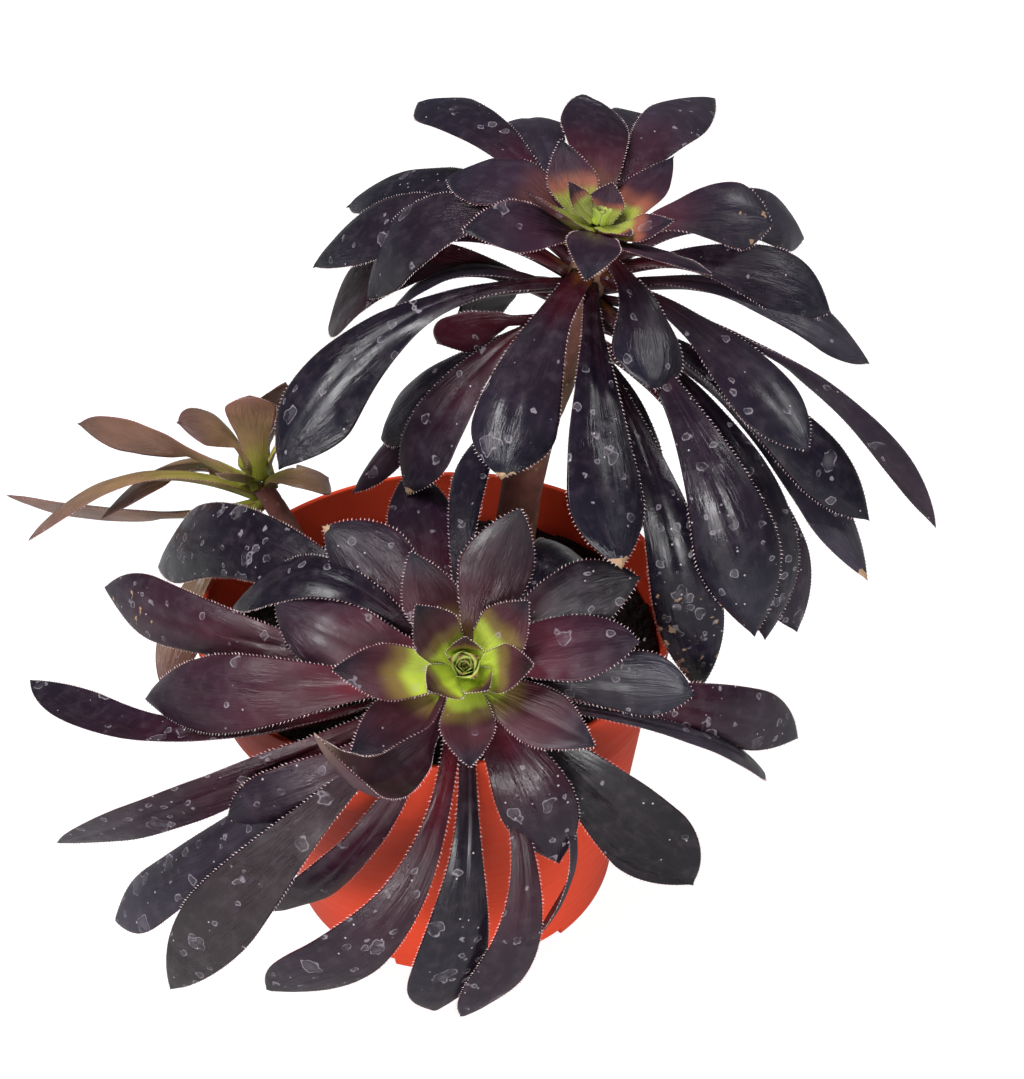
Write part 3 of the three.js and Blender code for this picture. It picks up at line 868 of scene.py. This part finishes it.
# %% Extra leaves
def drawn_guide(base, tip, axis, lift, sway, width, roll):
    chord = (tip - base).normalized()
    side = chord.cross(axis).normalized()
    elbow = (base + tip) / 2 + side.cross(chord) * lift + side * sway
    guide = LeafGuide(base, elbow, tip, width / 2, [(0, side)])
    turns = []
    for t in (0, 0.15, 0.3, 0.45, 0.6, 0.8, 1):
        forward = guide.forward(t)
        face = side.cross(forward).normalized()
        across = forward.cross(face)
        turns.append((t, Matrix.Rotation(-math.radians(roll) * smooth(t / 0.6), 3, forward) @ across))
    guide.turns = turns
    return guide


def leaf_from_stem(head, drop, tip, lift, sway, width, roll):
    crown = crowns[head]
    centre = crown.place - crown.axis * drop * MM
    tip = Vector(tip) * MM
    outward = tip - centre
    outward = (outward - crown.axis * outward.dot(crown.axis)).normalized()
    base = centre + outward * (crown.radius - 1 * MM)
    return drawn_guide(base, tip, crown.axis, lift * MM, sway * MM, width * MM, roll)


EXTRA = {
    # name: rosette, drop below the crown, tip, lift, sway, width, roll, look
    "back_edge": ("top", 12, (65, 86, 179), 20, -7, 12, -20, GREY_PAINTED_SHEEN),
    "back_hanging": ("top", 20, (15, 43, 136), 18, -9, 16, -10, GREY_PAINTED_SHEEN),
    "left_arched": ("top", 20, (-9, 48, 141), 22, -8, 15, 10, {**GREY_PAINTED_SHEEN, "edge": skin(60, 30, 40)}),
    "left_deep": ("top", 26, (-12, 27, 120), 11, -3, 16, 20, BLACK),
    "left_strip": ("top", 26, (5, 27, 147), 8, -9, 12, -75, MAROON),
    "right_under": ("front", 24, (80, -32, 50), 49, 3, 8, 40, GREY_PAINTED_SHEEN),
    "left_second": ("front", 14, (-49, -13, 101), 31, 19, 14, -10, BLACK),
    "front_deep": ("top", 28, (49, -16, 116), 18, 0, 15, 0, {**BLACK, **WATERED}),
    "left_under_curled": ("front", 12, (-50, -60, 77), 17, -10, 15, 30, MAROON),
    "front_edge_on": ("front", 16, (17, -72, 42), 30, -27, 7, 60, GREY_PAINTED_SHEEN),
    "upright_behind": ("front", 12, (13, 4, 134), 22, -5, 12, 20, {**BLACK, **FRAYED}),
    "upright_maroon": ("front", 14, (-4, 17, 118), 1, -2, 17, 0, MAROON),
    "left_lowest": ("top", 30, (-20, 24, 107), 4, 10, 15, 10, PLUM),
    "back_arched": ("front", 16, (36, -7, 103), 36, -4, 14, 0, {**BLACK, **WATERED}),
    "low": ("side", 8, (-76, 18, 50), 5, 29, 12, 80, TAWNY),
    "far": ("side", 4, (-89, 43, 92), 12, 23, 17.5, 5, TAWNY),
    "behind": ("side", 6, (-36, 52, 125), 4, -16, 11.5, 65, TAWNY),
    "heart": ("side", 4, (-26, 37, 104), 6, 11, 18, 0, TAWNY),
}
EXTRA_SHAPE = {
    "left_deep": BLUNT,
    "upright_behind": {"scale": 0.75},
    "upright_maroon": {"widest": 0.66, "stalk": 0.4, "neck": 0.8, "point": 2.2},
    "back_hanging": {"widest": 0.55, "stalk": 0.4, "neck": 0.7, "point": 2.6},
}
for number, (name, (head, *line, look)) in enumerate(EXTRA.items()):
    guide, shape = leaf_from_stem(head, *line), EXTRA_SHAPE.get(name, {})
    piece = toothed_leaf(f"{head}_blade_{name}", guide, EXTRA_SEED + number, look, shape,
                         tooth=tooth_on(head))
    settle(piece, slot_of(head))
print("extra leaves:", len(EXTRA))

# %% [markdown]
# ## The hearts
# A rosette adds each new leaf a golden angle round from the last, so its young leaves lie on a spiral.
# The larger ones are blades like the rest, only broader at the base. They are green where they are
# youngest, so each one runs from lime through amber to plum. How far the leaves of the top and front
# rosettes lean, and their nudges, were worked out by a separate program, or lie close to what it gave.

# %% Young leaves
GOLDEN_ANGLE = 137.5
LIME = skin(170, 192, 46, 1)
PALE_LIME = skin(196, 196, 110, 1)
OLIVE = skin(136, 128, 78, 1)
YOUNG_PITCH = 0.75
YOUNG_SHAPE = {"roundness": 1.0, "point": 1.6, "neck": 1.0, "thick": 0.8, "ripple": 0.6, "curl": 0}
YOUNG = {
    # name: where the spiral starts, then
    # (order, length, lean from the axis, nudge round it, lift, roll, how far the green reaches)
    "top": (28, (
        (1, 9.5, 52, -11, -1, 15, 0.62), (2, 9.5, 85, 0, -1, 0, 0.6), (3, 11, 60, -9, -1, 0, 0.5),
        (4, 18, 70, -29, -2, -10, 0.6), (5, 16.5, 68, -20, -2, -20, 0.5), (6, 23, 56, -17, -3, 18, 0.55),
        (7, 24, 95, -13, 7, 0, 0.06), (8, 29, 64, -1, -2, 10, 0.46), (9, 31, 91, 8, 4, 42, 0.04),
        (10, 31, 83, -9, 2, 10, 0.05))),
    "front": (24, (
        (2, 9, 47, 6, -1, 0, 0.66), (3, 9.5, 22, 9, -1, 0, 0.64), (4, 14, 40, 4, -1.5, 0, 0.62),
        (5, 16.5, 53, -1, -2, 0, 0.5), (6, 19, 47, 0, -2, 0, 0.42), (7, 21.5, 74, 2, -2, 0, 0.4),
        (8, 22, 49, -7, -2, 0, 0.55), (9, 28, 73, -3, -2, 0, 0.46), (10, 33, 72, 3, -2, 0, 0.28),
        (11, 28, 80, 14, -2, 0, 0.36), (12, 30, 76, -20, -2, 0, 0.28))),
    "side": (40, (
        (2, 7, 35, 0, -1, 0, 0.8), (3, 9, 45, 0, -1, 0, 0.8), (4, 11, 54, 0, -1, 0, 0.7),
        (5, 13, 60, 0, -1, 0, 0.6), (6, 15, 66, 0, -1, 0, 0.5))),
}


def young_look(head, age, green):
    """Green from the base to a share of the leaf, then amber and rose into plum, with a dark tip."""
    if head == "side":
        return {**TAWNY, "ramp": fade((0, 170, 192, 46, 1), (green, 180, 170, 66, 1), (1, 140, 100, 76, 1))}
    heart = OLIVE.lerp(LIME, 0.45) if head == "top" else LIME.lerp(PALE_LIME, 0.3 * age)
    amber = skin(164, 96, 76, 0.7) if head == "top" else skin(142, 118, 62, 0.7)
    plum = skin(74, 44, 62) if head == "top" else skin(96, 48, 60)
    tip = skin(52, 20, 38) if age < 0.45 else skin(40, 34, 50)
    soft = mix(0.1, 0.22, age)
    return {
        "ramp": [(0, heart), (green * 0.75, heart), (green, amber), (min(green + soft, 0.9), plum),
                 (1, tip)],
        "back": skin(110, 60, 60), "edge": skin(120, 60, 70), "marks": 0.08, "gloss": 0.2, "wrinkles": 0.8,
    }


def young_guide(head, order, length, lean, nudge, lift, roll):
    crown, axis = crowns[head], crowns[head].axis
    zero = Vector((1, 0, 0))
    zero = (zero - axis * zero.dot(axis)).normalized()
    turn = math.radians(YOUNG[head][0] + GOLDEN_ANGLE * order + nudge)
    outward = Matrix.Rotation(turn, 3, axis) @ zero
    base = crown.place - axis * (0.5 * order * MM) + outward * 0.3 * crown.radius
    tilt = math.radians(lean)
    tip = base + axis * ((length * math.cos(tilt) + 2) * MM) + outward * (length * math.sin(tilt) * MM)
    width = 14 * (1 - math.exp(-length / 11)) * (0.8 if head == "side" else 1)
    return drawn_guide(base, tip, axis, lift * MM, 0, width * MM, roll)


for head, (_, rows) in YOUNG.items():
    for order, *sizes, green in rows:
        age = order / rows[-1][0]
        shape = {**YOUNG_SHAPE, "widest": mix(0.45, 0.6, age), "stalk": mix(0.75, 0.42, age),
                 "cup": mix(0.3, 0.04, age), "channel": mix(0.3, 0.2, age)}
        guide, look = young_guide(head, order, *sizes), young_look(head, age, green)
        piece = toothed_leaf(f"{head}_young_{order}", guide, YOUNG_SEED + order, look, shape,
                             YOUNG_PITCH, mix(SHORT_TOOTH, 0.6, age))
        settle(piece, "crown", f"{head}_crown")
    print(head, "young leaves:", len(rows))

# %% [markdown]
# ## The innermost scales
# In the middle of a heart eight to thirteen scales close over each other. They obey the golden angle so
# exactly that Geometry Nodes can grow them: one scale is drawn, and the tree sets copies along the spiral,
# each further out, larger and more open than the last.

# %% Scale tree
def heart_tree():
    tree = Tree("scales_on_a_spiral", {
        "Count": 12, "Spread": 0.55 * MM, "Closed Lean": -0.25, "Open Lean": 0.35, "Smallest": 0.35,
        "Growth": 0.07, "Place": Vector(), "Turn": Vector(), "Scale Finish": None,
    })
    calc = tree.math
    index = tree.node("GeometryNodeInputIndex").outputs[0]
    line = tree.node("GeometryNodeMeshLine", {"Count": tree.given("Count")})
    turn = tree.times(index, math.radians(GOLDEN_ANGLE))
    reach = tree.times(calc("SQRT", index), tree.given("Spread"))
    share = calc("DIVIDE", index, tree.given("Count"))
    opening = calc("SUBTRACT", tree.given("Open Lean"), tree.given("Closed Lean"))
    lean = calc("ADD", tree.given("Closed Lean"), tree.times(share, opening))
    size = calc("ADD", tree.given("Smallest"), tree.times(index, tree.given("Growth")))
    drop = tree.times(index, -0.12 * MM)
    spot = tree.node("ShaderNodeCombineXYZ", {
        "X": tree.times(reach, calc("COSINE", turn)),
        "Y": tree.times(reach, calc("SINE", turn)), "Z": drop})
    placed = tree.node("GeometryNodeSetPosition", {"Geometry": line.outputs[0], "Position": spot.outputs[0]})
    angles = tree.node("ShaderNodeCombineXYZ", {"Y": lean, "Z": turn})
    rotation = tree.node("FunctionNodeEulerToRotation", {0: angles.outputs[0]}).outputs[0]
    scales = tree.real_copies(placed.outputs[0], tree.given("Geometry"), rotation, size)
    moved = tree.node("GeometryNodeTransform", {
        "Geometry": scales, "Translation": tree.given("Place"), "Rotation": tree.given("Turn")})
    tree.put(tree.end.inputs[0], tree.painted(moved.outputs[0], "Scale Finish"))
    return tree


hearts = heart_tree()
SCALE_LOOK = {
    "ramp": fade((0, 170, 192, 46, 1), (0.84, 206, 218, 116, 1), (0.93, 150, 100, 70, 1),
        (0.98, 80, 26, 42), (1, 64, 20, 36)),
    "back": skin(160, 186, 70, 1), "edge": skin(206, 206, 130, 1), "marks": 0.0, "gloss": 0.5,
        "wrinkles": 0.2,
}


def heart_scales(head, count, size):
    """One scale stands at the origin, curved over the middle, and the tree grows the heart from it."""
    up, out = Vector((0, 0, 1)), Vector((1, 0, 0))
    guide = drawn_guide(Vector((0, 0, 0)), up * 7 * MM, -out, 1.6 * MM, 0, 6.5 * MM, 0)
    piece = blade(f"{head}_heart", guide, HEART_SEED, {**LOOK, **SCALE_LOOK},
                  {"widest": 0.5, "stalk": 0.75, "roundness": 0.8, "cup": 0.55, "channel": 0.55,
                   "thick": 0.6, "ripple": 0.3, "hook": 0.8, "curl": 0.0})
    crown = crowns[head]
    turn = crown.axis.to_track_quat("Z", "X").to_euler()
    hearts.apply(piece, Count=count, Smallest=0.3 * size, Growth=0.06 * size,
                 Place=crown.place + crown.axis * 1.0 * MM, Turn=turn, Scale_Finish=waxy_leaf)
    settle(piece, "crown", f"{head}_crown")
    print(head, "heart:", count, "scales")


heart_scales("top", 10, 0.7)
heart_scales("front", 13, 1.0)
heart_scales("side", 8, 0.6)

# %% [markdown]
# ## Stems
# The stems are bare, pinkish brown canes, ringed by the scars of leaves that dropped. Each follows the bends
# of its model, so a tube swept along a smooth curve does, with the scars pressed into its radius.

# %% Stems
STEMS = {
    "top": ((20, 16, 62), (21, 18, 90), (26, 20, 118), (34, 20, 142)),
    "front": ((6, -16, 60), (6, -22, 74)),
    "side": ((-31, 30, 60), (-33, 31, 74), (-37, 34, 86)),
}
NECKS = {"top": 24, "front": 24, "side": 12}
AROUND = 28
SCAR_PITCH = 4.2 * MM


def through(points, steps):
    """A smooth curve through the points: each span eases between the slopes at its two ends."""
    ends = [points[0] * 2 - points[1], *points, points[-1] * 2 - points[-2]]
    path = []
    for a, b, c, d in zip(ends, ends[1:], ends[2:], ends[3:]):
        for k in range(steps):
            u = k / steps
            path.append(0.5 * (2 * b + (c - a) * u + (2 * a - 5 * b + 4 * c - d) * u * u
                               + (3 * b - a - 3 * c + d) * u ** 3))
    return path + [points[-1]]


def stem_material():
    net = Net("stem_bark")
    place = net.object_place()
    patches = net.ramp(net.noise(place, 45.0, 3.0), 0.4, 0.62)
    bark = net.blend(patches, rgb(132, 98, 76), rgb(150, 92, 84))
    bark = net.blend(net.ramp(net.noise(place, 240.0, 4.0), 0.35, 0.7, 0.0, 0.55), bark, rgb(84, 60, 50))
    dot = round_dots(net, place, 520.0, 0.1, 0.3, 0.35)
    bark = net.blend(net.times(dot, 0.5), bark, rgb(190, 170, 140))
    rough = net.ramp(net.noise(place, 150.0), 0.3, 0.7, 0.5, 0.75)
    normal = net.bump(net.noise(place, 420.0, 4.0), 0.0003, 0.8)
    return net.finish(Base_Color=bark, Roughness=rough, Normal=normal)


stem_bark = stem_material()


def stem(head):
    crown = crowns[head]
    bends = [Vector(p) * MM for p in STEMS[head]]
    bends += [crown.place - crown.axis * d * MM for d in (NECKS[head], NECKS[head] / 3)]
    path = through(bends, 14)
    vertices, walked = [], 0.0
    side = Vector((0, 1, 0))
    for k, here in enumerate(path):
        forward = (path[min(k + 1, len(path) - 1)] - path[max(k - 1, 0)]).normalized()
        side = (side - forward * side.dot(forward)).normalized()
        other = forward.cross(side)
        walked += (here - path[max(k - 1, 0)]).length
        share = k / (len(path) - 1)
        girth = crown.radius * mix(1.12, 0.9, share)
        for j in range(AROUND):
            angle = 2 * math.pi * j / AROUND
            spiral = walked / SCAR_PITCH * 2 * math.pi + angle
            scar = max(0.0, math.cos(spiral)) ** 6
            lumps = noise.noise(here * 160 + Vector((math.cos(angle), math.sin(angle), 0)) * 0.8)
            radius = girth * (1 + 0.05 * lumps - 0.05 * scar)
            vertices.append(here + (side * math.cos(angle) + other * math.sin(angle)) * radius)
    faces, foot_cap = tube_faces(len(path), AROUND)
    faces += [foot_cap, tuple(range(len(vertices) - AROUND, len(vertices)))]
    piece = mesh_object(f"{head}_cane", vertices, faces)
    piece.data.materials.append(stem_bark)
    settle(piece, "stem", f"{head}_stem")
    print(head, "stem:", round(walked / MM), "mm long")


for head in STEMS:
    stem(head)

# %% [markdown]
# ## The pot
# A grower's pot is one thin moulding: a tapered body, a deeper collar that stiffens the rim, and a foot
# with open channels, so water can drain away. Its profile is spun round the axis, and the channels and
# holes are cut from the solid, as the mould's cores would leave them.

# %% Pot
POT = {
    "rim_radius": 60, "height": 88, "collar_foot": 69.3, "collar_foot_radius": 57.2,
    "body_top_radius": 54.8, "base_radius": 44.4, "wall": 1.5, "floor": 4.6,
}
DRAIN = {"count": 6, "width": 11, "depth": 3.2, "inner_radius": 18, "hole_radius": 3.5, "hole_at": 33}
POT_FACETS = 128


def rounded(profile, radii):
    """A profile with its corners turned into small arcs, each with its own radius."""
    out = [profile[0]]
    for before, corner, after, radius in zip(profile, profile[1:], profile[2:], radii):
        corner = Vector(corner)
        into = Vector(before) - corner
        away = Vector(after) - corner
        cut = min(radius, into.length / 2, away.length / 2)
        first, last = corner + into.normalized() * cut, corner + away.normalized() * cut
        for k in range(5):
            u = k / 4
            out.append(first * (1 - u) ** 2 + corner * (2 * u * (1 - u)) + last * u * u)
    return out + [profile[-1]]


def spin(name, profile):
    """Turns a profile of (radius, height) in millimetres into a closed body, from axis to axis."""
    points, rings = [], []
    for radius, height in profile:
        if radius < 1e-6:
            rings.append([len(points)])
            points.append(Vector((0, 0, height)) * MM)
            continue
        rings.append(list(range(len(points), len(points) + POT_FACETS)))
        points += [Vector((x, y, height)) * MM for x, y in circle(POT_FACETS, radius)]
    faces = []
    for low, high in zip(rings, rings[1:]):
        for k in range(POT_FACETS):
            n = (k + 1) % POT_FACETS
            if len(low) == 1:
                faces.append((low[0], high[n], high[k]))
            elif len(high) == 1:
                faces.append((low[k], low[n], high[0]))
            else:
                faces.append((low[k], low[n], high[n], high[k]))
    return mesh_object(name, points, faces)


def pot_profile():
    p = POT
    wall, foot = p["wall"], p["collar_foot"]
    return rounded(
        [(0, 0), (p["base_radius"], 0), (p["body_top_radius"], foot), (p["collar_foot_radius"], foot),
         (p["rim_radius"], p["height"]), (p["rim_radius"] - wall, p["height"]),
         (p["collar_foot_radius"] - wall, foot), (p["body_top_radius"] - wall, foot - wall),
         (p["base_radius"] - wall + 0.6, p["floor"]), (0, p["floor"])],
        (1.2, 0.5, 0.7, 0.7, 0.6, 0.8, 0.8, 2.0))


def cutter(low, high, round_hole=False):
    """A block, or a round core of the same size, to cut the pot with."""
    block = bmesh.new()
    if round_hole:
        bmesh.ops.create_cone(block, cap_ends=True, segments=24, radius1=0.5, radius2=0.5, depth=1)
    else:
        bmesh.ops.create_cube(block, size=1)
    size = [b - a for a, b in zip(low, high)]
    bmesh.ops.scale(block, vec=size, verts=block.verts)
    bmesh.ops.translate(block, vec=[(a + b) / 2 for a, b in zip(low, high)], verts=block.verts)
    bmesh.ops.scale(block, vec=(MM, MM, MM), verts=block.verts)
    return block


def drain_cores():
    """All channels and holes as one object, so the pot is cut once."""
    whole = bmesh.new()
    d = DRAIN
    for k in range(d["count"]):
        turn = Matrix.Rotation(2 * math.pi * k / d["count"], 4, "Z")
        half, hole_radius = d["width"] / 2, d["hole_radius"]
        channel = cutter((d["inner_radius"], -half, -5), (70, half, d["depth"]))
        hole = cutter((d["hole_at"] - hole_radius, -hole_radius, 1),
                      (d["hole_at"] + hole_radius, hole_radius, 9), round_hole=True)
        for part in (channel, hole):
            part.transform(turn)
            mesh = bpy.data.meshes.new("core")
            part.to_mesh(mesh)
            whole.from_mesh(mesh)
            bpy.data.meshes.remove(mesh)
            part.free()
    mesh = bpy.data.meshes.new("drain_cores")
    whole.to_mesh(mesh)
    whole.free()
    return shown("drain_cores", mesh)


def pot_material():
    net = Net("pot_plastic")
    place = net.object_place()
    colour = net.blend(net.ramp(net.noise(place, 18.0, 3.0), 0.3, 0.7), rgb(212, 66, 38), rgb(218, 72, 44))
    specks = net.ramp(net.noise(place, 900.0, 2.0), 0.62, 0.75, 0.0, 0.12)
    colour = net.blend(specks, colour, rgb(226, 120, 96))
    scuffs = net.node("ShaderNodeMapping", {"Vector": place, "Scale": (60, 60, 700)}).outputs[0]
    scuffs = net.noise(scuffs, 1.0, 3.0)
    rough = net.ramp(scuffs, 0.3, 0.7, 0.42, 0.56)
    normal = net.bump(net.noise(place, 700.0, 2.0), 0.00005, 0.6)
    return net.finish(Base_Color=colour, Roughness=rough, Normal=normal, Specular_IOR_Level=0.25)


pot = spin("moulded_pot", pot_profile())
cores = drain_cores()
cut = pot.modifiers.new("drain", "BOOLEAN")
cut.operation = "DIFFERENCE"
cut.solver = "EXACT"
cut.object = cores
plain(pot)
bpy.data.objects.remove(cores)
pot.data.set_sharp_from_angle(angle=math.radians(35))
pot.data.materials.clear()
pot.data.materials.append(pot_material())
settle(pot, "pot", "pot")
print("pot faces:", len(pot.data.polygons))

# %% [markdown]
# ## The soil
# Peat with a little grit fills the pot to a finger's width under the rim. Its top is an uneven disc.
# Crumbs and a few pale grains lie on it, scattered by Geometry Nodes with a fixed seed.

# %% Soil
SOIL_TOP = 76
SOIL_RADIUS = 55.4
SOIL_DEPTH = 5
CRUMB_REACH = 54


def soil_bed():
    rings, around = 34, 96
    points, faces = [Vector((0, 0, SOIL_TOP)) * MM], []
    for r in range(1, rings + 1):
        for x, y in circle(around, SOIL_RADIUS * r / rings):
            spot = Vector((x, y, 0))
            rough = 1.5 * noise.noise(spot * 0.12) + 0.8 * noise.noise(spot * 0.45)
            slump = -0.8 * smooth((r / rings - 0.85) / 0.15)
            points.append((spot + Vector((0, 0, SOIL_TOP + rough + slump - 0.5))) * MM)
    foot = SOIL_TOP - SOIL_DEPTH
    points += [Vector((x, y, foot)) * MM for x, y in circle(around, SOIL_RADIUS - 0.6)]
    points.append(Vector((0, 0, foot)) * MM)
    for k in range(around):
        n = (k + 1) % around
        faces.append((0, 1 + k, 1 + n))
        faces.append((len(points) - 1, len(points) - 1 - around + n, len(points) - 1 - around + k))
        for r in range(rings):
            a = 1 + r * around
            faces.append((a + k, a + around + k, a + around + n, a + n))
    return mesh_object("soil_bed", points, faces)


def grain_material(name, dark, light, rough=0.9):
    net = Net(name)
    place = net.object_place()
    colour = net.blend(net.ramp(net.noise(place, 260.0, 4.0), 0.35, 0.7), dark, light)
    normal = net.bump(net.noise(place, 900.0, 4.0), 0.0006, 1.0)
    return net.finish(Base_Color=colour, Roughness=rough, Normal=normal)


def scatter_tree():
    tree = Tree("grains_on_soil", {
        "Density": 100000.0, "Smallest": 0.4 * MM, "Largest": 1.2 * MM, "Reach": CRUMB_REACH * MM,
        "Seed": 1, "Grain Finish": None,
    })

    def compare(operation, a, b):
        made = tree.node("FunctionNodeCompare", {0: a, 1: b}, data_type="FLOAT", operation=operation)
        return made.outputs[0]

    facing = tree.node("GeometryNodeInputNormal")
    height = tree.node("ShaderNodeSeparateXYZ", {0: facing.outputs[0]})
    top = compare("GREATER_THAN", height.outputs[2], 0.5)
    spot = tree.node("GeometryNodeInputPosition")
    level = tree.vector("MULTIPLY", spot.outputs[0], (1, 1, 0))
    reach = tree.node("ShaderNodeVectorMath", {0: level}, operation="LENGTH")
    within = compare("LESS_THAN", reach.outputs[1], tree.given("Reach"))
    inside = tree.node("FunctionNodeBooleanMath", {0: top, 1: within}, operation="AND")
    spots = tree.node("GeometryNodeDistributePointsOnFaces", {
        "Mesh": tree.given("Geometry"), "Selection": inside.outputs[0], "Density": tree.given("Density"),
        "Seed": tree.given("Seed")})
    grain = tree.node("GeometryNodeMeshIcoSphere", {"Radius": 1.0, "Subdivisions": 1})
    turn = tree.random("FLOAT_VECTOR", {1: (6.28, 6.28, 6.28)}).outputs[0]
    stretch = tree.random("FLOAT_VECTOR", {0: (0.6, 0.6, 0.6), 1: (1.3, 1.3, 1.3)}).outputs[0]
    size = tree.random("FLOAT", {2: tree.given("Smallest"), 3: tree.given("Largest")}).outputs[1]
    scale = tree.vector("SCALE", stretch, size)
    scattered = tree.real_copies(spots.outputs["Points"], grain.outputs["Mesh"], turn, scale)
    tree.put(tree.end.inputs[0], tree.painted(scattered, "Grain Finish"))
    return tree


bed = soil_bed()
grains = scatter_tree()
for name, density, small, large, seed, finish in (
    ("soil_crumbs", 220000.0, 0.5, 1.5, 3, grain_material("peat_crumb", rgb(9, 7, 7), rgb(28, 21, 19))),
    ("perlite", 3500.0, 0.5, 1.3, 8, grain_material("perlite", rgb(190, 180, 165), rgb(225, 218, 205), 0.8)),
):
    piece = shown(name, bed.data.copy())
    grains.apply(piece, Density=density, Smallest=small * MM, Largest=large * MM, Seed=seed,
                 Grain_Finish=finish)
    settle(piece, "soil", "soil")
    print(name, "faces:", len(piece.data.polygons))
bed.data.materials.append(grain_material("peat_bed", rgb(6, 4, 4), rgb(18, 14, 13)))
settle(bed, "soil", "soil")
